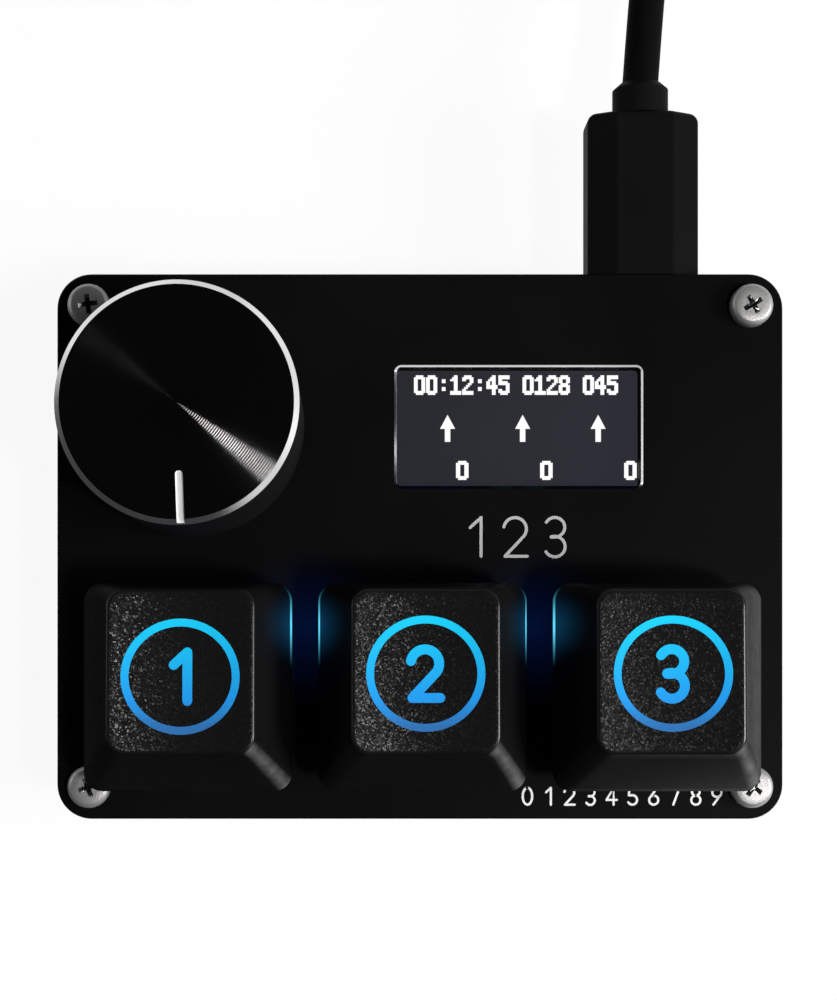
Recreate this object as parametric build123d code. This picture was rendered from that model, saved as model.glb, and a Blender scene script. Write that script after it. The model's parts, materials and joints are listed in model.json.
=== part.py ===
from build123d import *

import math
import os

# Three-key macro pad with a push-and-turn dial and a small display.
# Millimetres. X runs to the right, Y to the rear, Z up, and the feet stand on Z = 0.

# --- shell ---------------------------------------------------------------
plate_thickness = 1.5
plate_corner_radius = 3.1
plate_edge_chamfer = 0.15
case_reveal = 0.2  # the case outline stands this far inside the plate's edge
case_wall = 2.0
case_floor = 2.0
case_edge_chamfer = 0.6
foot_height = 1.5
foot_recess = 0.4
foot_radius = 4.0
foot_clearance = 0.1
foot_inset = 8.0
foot_edge_chamfer = 0.35
overcut = 1.0  # how far a cutting tool runs past the face that it leaves

# --- screws and inserts --------------------------------------------------
screw_inset = 2.95  # screw axis from the plate's edges
screw_radius = 1.0
screw_length = 6.0
screw_head_radius = 1.9
screw_head_height = 1.35
screw_head_rim = 0.6
screw_crown_radius = 1.25
screw_turns = (20, 8, -35, 30)
screw_hole_clearance = 0.15
recess_span = 2.1  # cross recess, tip to tip
recess_width = 0.55
recess_depth = 0.8
recess_taper = 0.5  # its floor as a share of its mouth
recess_rise = 0.2  # the cutting tool ends this far above the crown
column_radius = 3.0
insert_radius = 1.55
insert_length = 4.0
insert_hole_room = 1.0
insert_flange = 0.6
insert_groove = 0.15

# --- circuit board -------------------------------------------------------
board_thickness = 1.6
under_board_space = 3.5
board_edge_clearance = 0.3
board_post_radius = 1.8
board_post_inset_x = 3.25  # from the case's inner walls
board_post_inset_y = 2.0
board_hole_clearance = 0.1

# --- keys ----------------------------------------------------------------
key_count = 3
key_pitch = 20.4
key_side_margin = 3.3  # from the plate's side to the outer keycap
key_front_margin = 2.95
key_travel = 4.0
switch_seat = 5.0  # plate top down to board top
switch_cutout = 14.0
switch_body = 13.9
switch_flange = 15.6
switch_flange_height = 1.0
switch_corner = 0.5
switch_floor = 1.2
switch_cavity_x = 10.2
switch_cavity_front = 5.9
switch_cavity_rear = 3.6
switch_clip_height = 0.9
switch_clip_reach = 0.35
switch_clip_width = 4.0
switch_clip_gap = 0.05
switch_peg_floor = 0.6
switch_pin_clearance = 0.05
led_window_x = 3.6
led_window_y = 2.4
cover_height = 6.6  # top of the switch cover above the plate
cover_base = 14.4
cover_top = 10.4
cover_wall = 1.3
cover_roof = 1.4
cover_corners = (1.0, 1.2)  # outside, at its foot and its top
cover_inner_corner = 0.6
peg_radius = 2.0
peg_length = 3.0
pole_radius = 1.15
pole_length = 3.2
pole_clearance = 0.2
slider_x = 7.0
slider_y = 6.0
slider_window_clearance = 0.12
slider_rail_x = 8.6
slider_rail_y = 2.6
slider_bottom = 0.8  # above the plate, key up
slider_corner = 0.2
slider_rail_top = 3.6
slider_top_gap = 0.1  # below the cover's top
slider_roof = 1.4
cross_span = 4.1
cross_bar = 1.25
cross_height = 3.6
cross_clearance = 0.03
spring_radius = 1.95
spring_wire = 0.32
spring_turns = 6
spring_bore = 2.5
spring_seat_clearance = 0.05
contact_pins = ((3.81, -2.54), (-2.54, -5.08))
contact_pin_radius = 0.7
contact_pin_length = 3.3
contact_blade_width = 2.2
contact_blade_thickness = 0.3
contact_blade_height = 4.2
contact_blade_ys = (-4.6, -5.55)  # rear face of each pin's blade
contact_foot_lap = 0.3  # the foot runs past the pin's axis
led_offset = 5.08
led_x = 3.2
led_y = 2.6
led_height = 1.8
led_drop = 0.2
led_corner = 0.2
led_pocket_radius = 1.0
led_pocket_depth = 0.3

# --- keycaps -------------------------------------------------------------
cap_base = 18.1
cap_top_x = 12.6
cap_top_y = 14.0
cap_top_shift = 1.45  # the top sits this far to the rear of the base
cap_lift = 5.9  # skirt above the plate, key up
cap_height = 7.85
cap_base_radius = 1.6
cap_top_radius = 1.5
cap_wall = 1.3
cap_roof = 1.6
cap_edge_radius = 0.45
cap_dish_radius = 34.0
cap_dish_depth = 0.85
cap_dish_tilt = 1.5
cap_post_radius = 2.75
cap_rib = 0.9
cap_rib_clearance = 0.2  # above the pressed key's switch cover
cap_post_gap = 0.1
cap_inner_corner = 0.5
cap_merge = 0.2  # posts and ribs run this far into the roof

# --- dial ----------------------------------------------------------------
dial_rear_margin = 3.8  # from the plate's rear edge
dial_key_gap = 4.35  # from the keycaps' rear edges
dial_radius = 10.0
dial_lift = 1.0  # skirt above the plate
dial_height = 15.5
dial_bevel = 0.5
dial_wall = 1.2
dial_skirt_depth = 1.9
dial_neck_radius = 4.3
dial_neck_gap = 0.4  # above the bushing, pushed in
dial_bore_clearance = 0.02
dial_shaft_gap = 0.3  # above the shaft's tip
dial_push = 0.5
dial_mark_length = 4.1
dial_mark_width = 0.7
dial_mark_depth = 0.3
dial_mark_angle = -88.0
grub_radius = 1.5
grub_length = 4.5
grub_clearance = 0.02
grub_socket_radius = 0.75
grub_socket_depth = 1.5
grub_drop = 4.6  # below the dial's top face
grub_angle = 100.0
encoder_x = 11.6
encoder_y = 11.8
encoder_cutout_clearance = 0.65
encoder_base_height = 4.4
encoder_floor = 0.4
encoder_well_radius = 5.0
encoder_well_drop = 0.05  # below the rotor
encoder_corner = 0.4
rotor_ledge = 0.7
bushing_plate = 1.6
bushing_radius = 3.5
bushing_length = 5.0
bushing_chamfer = 0.3
collar_room_radius = 0.2
frame_sheet = 0.4
frame_bore_clearance = 0.1
frame_side_share = 0.7  # of the encoder's depth
frame_side_bottom = 1.0
frame_leg_y = 3.0
frame_leg_length = 3.0
terminal_front_xs = (-2.5, 0.0, 2.5)
terminal_rear_xs = (-2.5, 2.5)
terminal_width = 0.8
terminal_thickness = 0.4
terminal_reach = 1.4
terminal_z = 0.8
shaft_radius = 3.0
shaft_running_clearance = 0.05
shaft_height = 20.0  # shaft tip above the board
shaft_flat_depth = 1.5
shaft_flat_length = 7.0
shaft_collar_radius = 4.0
shaft_collar_thickness = 0.65
shaft_collar_drop = 0.05
shaft_tang_radius = 1.8
shaft_tang_flat = 0.7
shaft_tang_bottom = 1.3
rotor_radius = 4.7
rotor_bottom = 2.3
rotor_thickness = 1.5
rotor_teeth = 20
rotor_notch_radius = 0.4
rotor_notch_shift = 0.13  # outside the rotor's edge
dome_radius = 2.3
dome_crown_radius = 1.15
dome_height = 0.35
dome_sheet = 0.12

# --- display -------------------------------------------------------------
window_side_margin = 12.88
window_rear_margin = 8.51
window_width = 21.9
window_height = 10.6
window_corner = 0.35
window_bevel = 0.25
glass_width = 24.7
glass_depth = 16.6
glass_lower = 0.7
glass_upper = 0.75
glass_rear_margin = 1.8
glass_ledge = 3.4
glass_gap = 0.05  # below the plate
foam_inset = 0.6
foam_corner = 0.5
ribbon_width = 9.0
ribbon_thickness = 0.2
ribbon_lap = 2.0
ribbon_bend = 0.8
ribbon_reach = 1.7
connector_width = 10.4
connector_depth = 2.5
connector_height = 1.3
connector_mouth = 1.0
connector_corner = 0.2
connector_side_room = 0.1
connector_slot_room = 0.05

# --- board parts ---------------------------------------------------------
chip_side = 7.0
chip_height = 0.85
chip_standoff = 0.1
chip_corner = 0.3
chip_front_shift = 6.33  # centre, to the front of the window's
chip_lead_pitch = 0.8
chip_leads = 7
chip_lead_width = 0.35
chip_lead_reach = 0.7
chip_lead_thickness = 0.3
small_part_rows = ((-12.0, -0.5), (-12.0, 7.5), (11.0, -0.5))  # from the chip
small_part_length = 1.6
small_part_width = 0.8
small_part_height = 0.6
small_part_step = 1.7
small_part_count = 4
crystal_length = 3.2
crystal_width = 2.5
crystal_gap = 2.05
crystal_corner = 0.4

# --- port and plug -------------------------------------------------------
port_width = 8.94
port_height = 3.2
port_length = 6.2
port_wall = 0.3
port_setback = 0.1
port_slot_clearance = 0.15
port_fit = 0.01
port_round = 0.45  # corner radius as a share of the oval's height
tongue_width = 6.6
tongue_thickness = 0.7
tongue_length = 4.4
tongue_block = 1.2
plug_gap = 0.1  # between the plate's rear edge and the plug
plug_shell_width = 8.25
plug_shell_height = 2.4
plug_shell_wall = 0.3
plug_shell_length = 5.0
plug_shell_grip = 3.0
plug_width = 10.1
plug_height = 6.2
plug_length = 15.0
plug_facet_x = 2.55
plug_facet_z = 1.3
plug_rear_radius = 1.0
plug_edge_radius = 0.5
relief_radius = 2.55
relief_tip_radius = 1.9
relief_length = 3.0
relief_straight = 2.4

# --- cable ---------------------------------------------------------------
cable_radius = 1.65
bend_share = 0.45  # of the shorter run beside a bend
coil_rings = 6
coil_layers = 2
coil_edge_chamfer = 1.1
coil_mean_radius = 18.25
coil_x = -4.8
coil_y = 86.0
tie_angle = 205.0
tie_wall = 0.5
tie_width = 6.0
tie_grip = 0.01  # pressed into the turns
far_plug_length = 21.0
far_plug_width = 15.4
far_plug_height = 7.8
far_plug_round = 1.6
far_shell_length = 12.0
far_shell_width = 12.0
far_shell_height = 4.5
far_shell_wall = 0.3
far_shell_grip = 3.0
far_insert_setback = 0.3
far_insert_clearance = 0.02
far_insert_height = 1.8
far_window = 2.3

# --- heights and places worked out from the sizes above ------------------
plate_width = (key_count - 1) * key_pitch + cap_base + 2 * key_side_margin
plate_depth = key_front_margin + cap_base + dial_key_gap + 2 * dial_radius + dial_rear_margin
floor_top_z = foot_height + case_floor
board_bottom_z = floor_top_z + under_board_space
board_top_z = board_bottom_z + board_thickness
plate_top_z = board_top_z + switch_seat
plate_bottom_z = plate_top_z - plate_thickness
port_z = board_top_z + port_height / 2
case_width = plate_width - 2 * case_reveal
case_depth = plate_depth - 2 * case_reveal
case_rear_y = case_depth / 2
plug_face_y = plate_depth / 2 + plug_gap
key_xs = [(i - (key_count - 1) / 2) * key_pitch for i in range(key_count)]
key_row_y = key_front_margin + cap_base / 2 - plate_depth / 2
dial_x = key_xs[0]
dial_y = plate_depth / 2 - dial_rear_margin - dial_radius
port_x = key_xs[-1]
window_x = plate_width / 2 - window_side_margin - window_width / 2
window_y = plate_depth / 2 - window_rear_margin - window_height / 2
chip_x = window_x
chip_y = window_y - chip_front_shift
crystal_y = chip_y + chip_side / 2 + chip_lead_reach + crystal_gap + crystal_width / 2
board_post_x = case_width / 2 - case_wall - board_post_inset_x
board_post_y = case_depth / 2 - case_wall - board_post_inset_y
corner_x = plate_width / 2 - screw_inset
corner_y = plate_depth / 2 - screw_inset
corners = [(sx * corner_x, sy * corner_y) for sx in (-1, 1) for sy in (-1, 1)]
feet = [
    (sx * (plate_width / 2 - foot_inset), sy * (plate_depth / 2 - foot_inset))
    for sx in (-1, 1)
    for sy in (-1, 1)
]
dial_bottom_z = plate_top_z + dial_lift
dial_top_z = dial_bottom_z + dial_height
frame_top = encoder_base_height + bushing_plate + frame_sheet
bushing_top = encoder_base_height + bushing_plate + bushing_length
coil_width = 2 * coil_rings * cable_radius
coil_height = 2 * coil_layers * cable_radius

# Cable route from the strain relief down to the surface and along to the coil.
lead_points = [
    (20.5, 42.6, 10.2),
    (20.7, 49.4, 10.1),
    (21.4, 57.6, 7.6),
    (21.2, 67.0, 1.7),
    (22.2, 77.0, 1.65),
    (21.7, 86.0, 1.65),
]
# From the outer turn of the coil's top layer to the far plug.
tail_points = [
    (21.7, 86.0, 4.95),
    (22.0, 93.5, 4.9),
    (23.6, 100.5, 4.1),
    (24.0, 107.5, 3.9),
]


def at(x, y, z=0.0):
    return Pos(x, y, z)


def plug_bore(radius, low, high):
    """Cylinder on Z between two heights."""
    return at(0, 0, low) * extrude(Circle(radius), high - low)


def slab(width, depth, low, high, corner=0.0):
    """Upright block, centred on Z, with rounded corners if asked."""
    outline = RectangleRounded(width, depth, corner) if corner else Rectangle(width, depth)
    return at(0, 0, low) * extrude(outline, high - low)


def span(low, high):
    """Block between two opposite corners."""
    size = [b - a for a, b in zip(low, high)]
    centre = [(a + b) / 2 for a, b in zip(low, high)]
    return Pos(*centre) * Box(*size)


def group(pieces):
    """Separate solids kept together in one node."""
    return Compound(children=[p if isinstance(p, Solid) else p.solid() for p in pieces])


def tapered(low_size, high_size, low, high, low_corner, high_corner, shift=0.0):
    """Straight-sided block that changes from one rounded rectangle to another."""
    bottom = at(0, 0, low) * RectangleRounded(*low_size, low_corner)
    top = at(0, shift, high) * RectangleRounded(*high_size, high_corner)
    return loft([bottom, top], ruled=True)


# --- shell ---------------------------------------------------------------


def bottom_case():
    corner = plate_corner_radius - case_reveal
    block = slab(case_width, case_depth, foot_height, plate_bottom_z, corner)
    body = chamfer(block.faces().sort_by(Axis.Z)[0].edges(), case_edge_chamfer)
    inner_radius = max(corner - case_wall, case_reveal)
    hollow = slab(
        case_width - 2 * case_wall, case_depth - 2 * case_wall, floor_top_z, plate_top_z, inner_radius
    )
    shell = body - hollow
    columns = [at(x, y) * plug_bore(column_radius, floor_top_z, plate_bottom_z) for x, y in corners]
    posts = [
        at(x, y) * plug_bore(board_post_radius, floor_top_z, board_bottom_z)
        for x, y in ((-board_post_x, 0), (board_post_x, 0), (0, board_post_y), (0, -board_post_y))
    ]
    shell = shell + [column & block for column in columns] + posts
    insert_hole = insert_length + insert_hole_room
    for x, y in corners:
        shell -= at(x, y) * plug_bore(insert_radius, plate_bottom_z - insert_hole, plate_bottom_z)
    for x, y in feet:
        shell -= at(x, y) * plug_bore(foot_radius + foot_clearance, 0, foot_height + foot_recess)
    room = 2 * port_slot_clearance
    slot = port_prism(port_width + room, port_height + room, -2 * case_wall, overcut)
    return shell - at(port_x, case_rear_y) * slot


def top_plate():
    plate = slab(plate_width, plate_depth, plate_bottom_z, plate_top_z, plate_corner_radius)
    plate = chamfer(plate.faces().sort_by(Axis.Z)[-1].edges(), plate_edge_chamfer)
    high = plate_top_z + overcut
    for x in key_xs:
        plate -= at(x, key_row_y) * slab(switch_cutout, switch_cutout, 0, high, switch_corner)
    gap = 2 * encoder_cutout_clearance
    opening_x = encoder_x + 2 * frame_sheet + gap
    plate -= at(dial_x, dial_y) * slab(opening_x, encoder_y + gap, 0, high, switch_corner)
    window = (window_width, window_height)
    mouth = (window_width + 2 * window_bevel, window_height + 2 * window_bevel)
    bevel_low = plate_top_z - window_bevel
    bevel = tapered(window, mouth, bevel_low, plate_top_z, window_corner, window_corner + window_bevel)
    plate -= at(window_x, window_y) * (slab(*window, 0, high, window_corner) + bevel)
    for x, y in corners:
        plate -= at(x, y) * plug_bore(screw_radius + screw_hole_clearance, 0, high)
    return plate


def pan_head_screw():
    """Pan-head screw on Z with its head's underside at Z = 0."""
    crown = screw_head_height
    profile = Polyline(
        (0, -screw_length),
        (screw_radius, -screw_length),
        (screw_radius, 0),
        (screw_head_radius, 0),
        (screw_head_radius, screw_head_rim),
        (screw_crown_radius, crown),
        (0, crown),
        close=True,
    )
    screw = revolve(Plane.XZ * make_face(profile), Axis.Z)
    floor = Rectangle(recess_span * recess_taper, recess_width * recess_taper)
    mouth = Rectangle(recess_span, recess_width)
    wing = loft([at(0, 0, crown - recess_depth) * floor, at(0, 0, crown + recess_rise) * mouth], ruled=True)
    return screw - wing - Rot(0, 0, 90) * wing


def top_plate_screws():
    screw = pan_head_screw()
    places = zip(corners, screw_turns)
    return group(at(x, y, plate_top_z) * Rot(0, 0, turn) * screw for (x, y), turn in places)


def threaded_inserts():
    insert = plug_bore(insert_radius, -insert_length, 0)
    insert -= plug_bore(screw_radius, -insert_length, 0)
    middle = -insert_length / 2
    groove = plug_bore(insert_radius, middle - insert_flange / 2, middle + insert_flange / 2)
    insert -= groove - plug_bore(insert_radius - insert_groove, -insert_length, 0)
    return group(at(x, y, plate_bottom_z) * insert for x, y in corners)


def rubber_feet():
    foot = plug_bore(foot_radius, 0, foot_height + foot_recess)
    foot = chamfer(foot.faces().sort_by(Axis.Z)[0].edges(), foot_edge_chamfer)
    return group(at(x, y) * foot for x, y in feet)


# --- board ---------------------------------------------------------------


def circuit_board():
    board = slab(
        case_width - 2 * case_wall - 2 * board_edge_clearance,
        case_depth - 2 * case_wall - 2 * board_edge_clearance,
        board_bottom_z,
        board_top_z,
    )
    notch = plug_bore(column_radius + board_edge_clearance, board_bottom_z, board_top_z)
    cuts = [at(x, y) * notch for x, y in corners]
    for x in key_xs:
        cuts.append(at(x, key_row_y) * board_hole(peg_radius))
        cuts += [at(x + px, key_row_y + py) * board_hole(contact_pin_radius) for px, py in contact_pins]
        cuts.append(at(x, key_row_y + led_offset) * board_slot(led_x, led_y))
    leg_x = encoder_x / 2 + frame_sheet / 2
    cuts += [at(dial_x + side * leg_x, dial_y) * board_slot(frame_sheet, frame_leg_y) for side in (-1, 1)]
    pin_y = encoder_y / 2 + terminal_reach - terminal_thickness / 2
    for side, xs in ((-1, terminal_front_xs), (1, terminal_rear_xs)):
        pin_slot = at(dial_x, dial_y + side * pin_y) * board_slot(terminal_width, terminal_thickness)
        cuts += [at(x, 0) * pin_slot for x in xs]
    return board - cuts


def board_hole(radius):
    return plug_bore(radius + board_hole_clearance, board_bottom_z, board_top_z)


def board_slot(width, depth):
    room = 2 * board_hole_clearance
    return slab(width + room, depth + room, board_bottom_z, board_top_z)


def controller_chip():
    low_z = board_bottom_z - chip_height
    body = slab(chip_side, chip_side, low_z, board_bottom_z - chip_standoff, chip_corner)
    half = chip_side / 2
    first = -(chip_leads - 1) / 2 * chip_lead_pitch
    leads = []
    for turn in range(4):
        for i in range(chip_leads):
            low_y = first + i * chip_lead_pitch - chip_lead_width / 2
            low = (half - chip_standoff, low_y, board_bottom_z - chip_lead_thickness)
            high = (half + chip_lead_reach, low_y + chip_lead_width, board_bottom_z)
            leads.append(Rot(0, 0, 90 * turn) * span(low, high))
    return at(chip_x, chip_y) * (body + leads).solid()


def small_components():
    low_z = board_bottom_z - small_part_height
    part = slab(small_part_length, small_part_width, low_z, board_bottom_z)
    pieces = []
    for x, y in small_part_rows:
        for i in range(small_part_count):
            pieces.append(at(chip_x + x, chip_y + y + i * small_part_step) * part)
    can_low = board_bottom_z - chip_height
    can = slab(crystal_length, crystal_width, can_low, board_bottom_z, crystal_corner)
    pieces.append(at(chip_x, crystal_y) * can)
    return group(pieces)


def key_leds():
    top = board_top_z - led_drop
    led = slab(led_x, led_y, top - led_height, top, led_corner)
    led -= plug_bore(led_pocket_radius, top - led_pocket_depth, top)
    return group(at(x, key_row_y + led_offset) * led for x in key_xs)


# --- keys: every function gives one key on the Z axis with the plate's top at Z = 0 ----


def switch_base():
    body = slab(switch_body, switch_body, -switch_seat, 0, switch_corner)
    body += slab(switch_flange, switch_flange, 0, switch_flange_height, switch_corner)
    body += plug_bore(peg_radius, -switch_seat - peg_length, -switch_seat)
    floor = -switch_seat + switch_floor
    body -= span(
        (-switch_cavity_x / 2, -switch_cavity_front, floor),
        (switch_cavity_x / 2, switch_cavity_rear, switch_flange_height),
    )
    well_floor = -switch_seat - peg_length + switch_peg_floor
    body -= plug_bore(pole_radius + pole_clearance, well_floor, floor)
    led_window = slab(led_window_x, led_window_y, -switch_seat, switch_flange_height, led_corner)
    body -= at(0, led_offset) * led_window
    for x, y in contact_pins:
        body -= at(x, y) * plug_bore(contact_pin_radius + switch_pin_clearance, -switch_seat, floor)
    clip_top = -plate_thickness - switch_clip_gap
    clip_low = clip_top - switch_clip_height
    for side in (-1, 1):
        wedge = Polyline((0, clip_top), (side * switch_clip_reach, clip_top), (0, clip_low), close=True)
        clip = extrude(Plane.XZ * make_face(wedge), switch_clip_width / 2, both=True)
        body += at(side * switch_body / 2, 0) * clip
    return body


def switch_cover():
    low = switch_flange_height
    base = (cover_base, cover_base)
    top = (cover_top, cover_top)
    outer = tapered(base, top, low, cover_height, *cover_corners)
    walls = 2 * cover_wall
    inner_base = (cover_base - walls, cover_base - walls)
    inner_top = (cover_top - walls, cover_top - walls)
    corner = cover_inner_corner
    inner = tapered(inner_base, inner_top, low, cover_height - cover_roof, corner, corner)
    window = 2 * slider_window_clearance
    hole = slab(slider_x + window, slider_y + window, 0, cover_height, slider_corner)
    return outer - inner - hole


def switch_stem():
    rail = slab(slider_rail_x, slider_rail_y, slider_bottom, slider_rail_top)
    slider_top = cover_height - slider_top_gap
    core = slab(slider_x, slider_y, slider_bottom, slider_top, slider_corner)
    stem = core + rail
    well_top = cover_height - slider_roof
    stem -= plug_bore(spring_bore, slider_bottom, well_top)
    stem += plug_bore(pole_radius, slider_bottom - pole_length, well_top)
    top = cover_height + cross_height
    stem += slab(cross_span, cross_bar, slider_top, top)
    stem += slab(cross_bar, cross_span, slider_top, top)
    return stem


def return_spring():
    low = -switch_seat + switch_floor + spring_seat_clearance + spring_wire / 2
    high = cover_height - slider_roof - spring_seat_clearance - spring_wire / 2
    height = high - low
    path = at(0, 0, low) * Helix(height / spring_turns, height, spring_radius)
    section = Plane(origin=path @ 0, z_dir=path % 0) * Rectangle(spring_wire, spring_wire)
    return sweep(section, path, is_frenet=True)


def contact_leaf(x, y, back):
    """Board pin with the blade that stands on it inside the switch."""
    floor = -switch_seat + switch_floor
    pin = at(x, y) * plug_bore(contact_pin_radius, -switch_seat - contact_pin_length, floor)
    low_x = x - contact_blade_width / 2
    high_x = x + contact_blade_width / 2
    front = min(back, y - contact_foot_lap)
    rear = max(back, y + contact_foot_lap)
    foot = span((low_x, front, floor), (high_x, rear, floor + contact_blade_thickness))
    rear = back + contact_blade_thickness
    blade = span((low_x, back, floor), (high_x, rear, floor + contact_blade_height))
    return (pin + foot + blade).solid()


def switch_contacts():
    pair = [contact_leaf(x, y, back) for (x, y), back in zip(contact_pins, contact_blade_ys)]
    return group(at(x, key_row_y, plate_top_z) * leaf for x in key_xs for leaf in pair)


def keycap():
    low = cap_lift
    high = cap_lift + cap_height
    base = (cap_base, cap_base)
    top = (cap_top_x, cap_top_y)
    outer = tapered(base, top, low, high, cap_base_radius, cap_top_radius, cap_top_shift)
    dish_z = high + cap_dish_radius - cap_dish_depth
    turn = Rot(90 + cap_dish_tilt, 0, 0)
    outer -= at(0, cap_top_shift, dish_z) * turn * Cylinder(cap_dish_radius, 2 * cap_base)
    rim = outer.faces().sort_by(Axis.Z)[-1].edges()
    outer = fillet(rim, cap_edge_radius)
    ceiling = high - cap_roof - cap_dish_depth
    walls = 2 * cap_wall
    rise = (ceiling - low) / cap_height  # how far up the taper the ceiling lies
    inner_base = (cap_base - walls, cap_base - walls)
    ceiling_x = cap_base + rise * (cap_top_x - cap_base) - walls
    ceiling_y = cap_base + rise * (cap_top_y - cap_base) - walls
    corner = cap_inner_corner
    inner = tapered(inner_base, (ceiling_x, ceiling_y), low, ceiling, corner, corner, rise * cap_top_shift)
    post_low = cover_height + cap_post_gap
    carrier_top = ceiling + cap_merge
    post = plug_bore(cap_post_radius, post_low, carrier_top)
    ribs_low = cover_height + key_travel + cap_rib_clearance
    ribs = slab(ceiling_x, cap_rib, ribs_low, carrier_top)
    ribs += at(0, rise * cap_top_shift) * slab(cap_rib, ceiling_y, ribs_low, carrier_top)
    cap = (outer - inner) + post + ribs
    gap = 2 * cross_clearance
    socket_top = cover_height + cross_height + cap_post_gap
    cap -= slab(cross_span + gap, cross_bar + gap, post_low, socket_top)
    cap -= slab(cross_bar + gap, cross_span + gap, post_low, socket_top)
    return cap


# --- dial and encoder: on the Z axis, with the board's top at Z = 0 ------


def encoder_base():
    base = slab(encoder_x, encoder_y, 0, encoder_base_height, encoder_corner)
    base -= plug_bore(encoder_well_radius, rotor_bottom - encoder_well_drop, encoder_base_height)
    base -= plug_bore(rotor_radius - rotor_ledge, encoder_floor, rotor_bottom)
    return base


def encoder_bushing():
    low = encoder_base_height
    high = low + bushing_plate
    bushing = slab(encoder_x, encoder_y, low, high, encoder_corner)
    bushing += plug_bore(bushing_radius, high, bushing_top)
    bushing = chamfer(bushing.faces().sort_by(Axis.Z)[-1].edges(), bushing_chamfer)
    bushing -= plug_bore(shaft_radius + shaft_running_clearance, low, bushing_top)
    collar_room = shaft_collar_thickness + 3 * shaft_collar_drop
    bushing -= plug_bore(shaft_collar_radius + collar_room_radius, low, low + collar_room)
    return bushing


def encoder_frame():
    top = encoder_base_height + bushing_plate
    width = encoder_x + 2 * frame_sheet
    frame = slab(width, encoder_y, top, frame_top)
    frame -= plug_bore(bushing_radius + frame_bore_clearance, top, frame_top)
    for side in (-1, 1):
        leg = at(side * (encoder_x + frame_sheet) / 2, 0)
        frame += leg * slab(frame_sheet, encoder_y * frame_side_share, frame_side_bottom, frame_top)
        frame += leg * slab(frame_sheet, frame_leg_y, -frame_leg_length, frame_side_bottom)
    return frame


def encoder_terminals():
    """Five bent pins: three at the front, two at the rear."""
    half = terminal_width / 2
    near = encoder_y / 2
    far = near + terminal_reach
    top = terminal_z + terminal_thickness
    foot = span((-half, near, terminal_z), (half, far, top))
    leg = span((-half, far - terminal_thickness, -frame_leg_length), (half, far, top))
    pin = foot + leg
    front = [at(x, 0) * Rot(0, 0, 180) * pin for x in terminal_front_xs]
    rear = [at(x, 0) * pin for x in terminal_rear_xs]
    return group(front + rear)


def d_section(radius, flat, low, high, angle=0.0):
    """Round bar with one flat that lies that far from the axis."""
    bar = plug_bore(radius, low, high)
    cut = span((flat, -2 * radius, low - overcut), (2 * radius, 2 * radius, high + overcut))
    return Rot(0, 0, angle) * (bar - cut)


def encoder_shaft():
    collar_top = encoder_base_height + shaft_collar_thickness + shaft_collar_drop * 2
    collar_low = collar_top - shaft_collar_thickness
    flat_low = shaft_height - shaft_flat_length
    shaft = plug_bore(shaft_radius, collar_top, flat_low)
    flat = shaft_radius - shaft_flat_depth
    shaft += d_section(shaft_radius, flat, flat_low, shaft_height, grub_angle)
    shaft += plug_bore(shaft_collar_radius, collar_low, collar_top)
    tang_flat = shaft_tang_radius - shaft_tang_flat
    shaft += d_section(shaft_tang_radius, tang_flat, shaft_tang_bottom, collar_low)
    return shaft


def encoder_rotor():
    high = rotor_bottom + rotor_thickness
    rotor = plug_bore(rotor_radius, rotor_bottom, high)
    bore = shaft_tang_radius + shaft_running_clearance
    rotor -= d_section(bore, bore - shaft_tang_flat, rotor_bottom, high)
    notch = at(rotor_radius + rotor_notch_shift, 0) * plug_bore(rotor_notch_radius, rotor_bottom, high)
    for i in range(rotor_teeth):
        rotor -= Rot(0, 0, i * 360 / rotor_teeth) * notch
    return rotor


def encoder_dome():
    """Thin snap dome under the shaft's end."""
    crown = dome_crown_radius
    profile = Polyline(
        (0, dome_height),
        (crown, dome_height),
        (dome_radius, 0),
        (dome_radius - 2 * dome_sheet, 0),
        (crown - dome_sheet / 2, dome_height - dome_sheet),
        (0, dome_height - dome_sheet),
        close=True,
    )
    return at(0, 0, encoder_floor) * revolve(Plane.XZ * make_face(profile), Axis.Z)


def dial():
    """Turned dial in the assembly's own heights, on the Z axis."""
    body = plug_bore(dial_radius, dial_bottom_z, dial_top_z)
    body = chamfer(body.faces().sort_by(Axis.Z)[-1].edges(), dial_bevel)
    body -= plug_bore(dial_radius - dial_wall, dial_bottom_z, dial_bottom_z + dial_skirt_depth)
    neck_top = board_top_z + bushing_top + dial_push + dial_neck_gap
    body -= plug_bore(dial_neck_radius, dial_bottom_z, neck_top)
    bore_top = board_top_z + shaft_height + dial_shaft_gap
    body -= plug_bore(shaft_radius + dial_bore_clearance, neck_top, bore_top)
    mark = SlotOverall(2 * dial_mark_length, dial_mark_width)
    mark_cut = at(dial_radius, 0, dial_top_z - dial_mark_depth) * extrude(mark, dial_mark_depth)
    body -= Rot(0, 0, dial_mark_angle) * mark_cut
    screw_hole = Rot(0, 90, 0) * plug_bore(grub_radius, 0, dial_radius + overcut)
    body -= at(0, 0, dial_top_z - grub_drop) * Rot(0, 0, grub_angle) * screw_hole
    return body


def dial_grub_screw():
    tip = shaft_radius - shaft_flat_depth + grub_clearance
    tail = tip + grub_length
    screw = plug_bore(grub_radius - grub_clearance, tip, tail)
    socket = extrude(RegularPolygon(grub_socket_radius, 6), grub_socket_depth)
    screw -= at(0, 0, tail - grub_socket_depth) * socket
    return at(0, 0, dial_top_z - grub_drop) * Rot(0, 0, grub_angle) * Rot(0, 90, 0) * screw


# --- display -------------------------------------------------------------


def glass_span():
    """Front and rear edge of the display glass, and the height of its top."""
    rear = window_y + window_height / 2 + glass_rear_margin
    return rear - glass_depth, rear, plate_bottom_z - glass_gap


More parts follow.
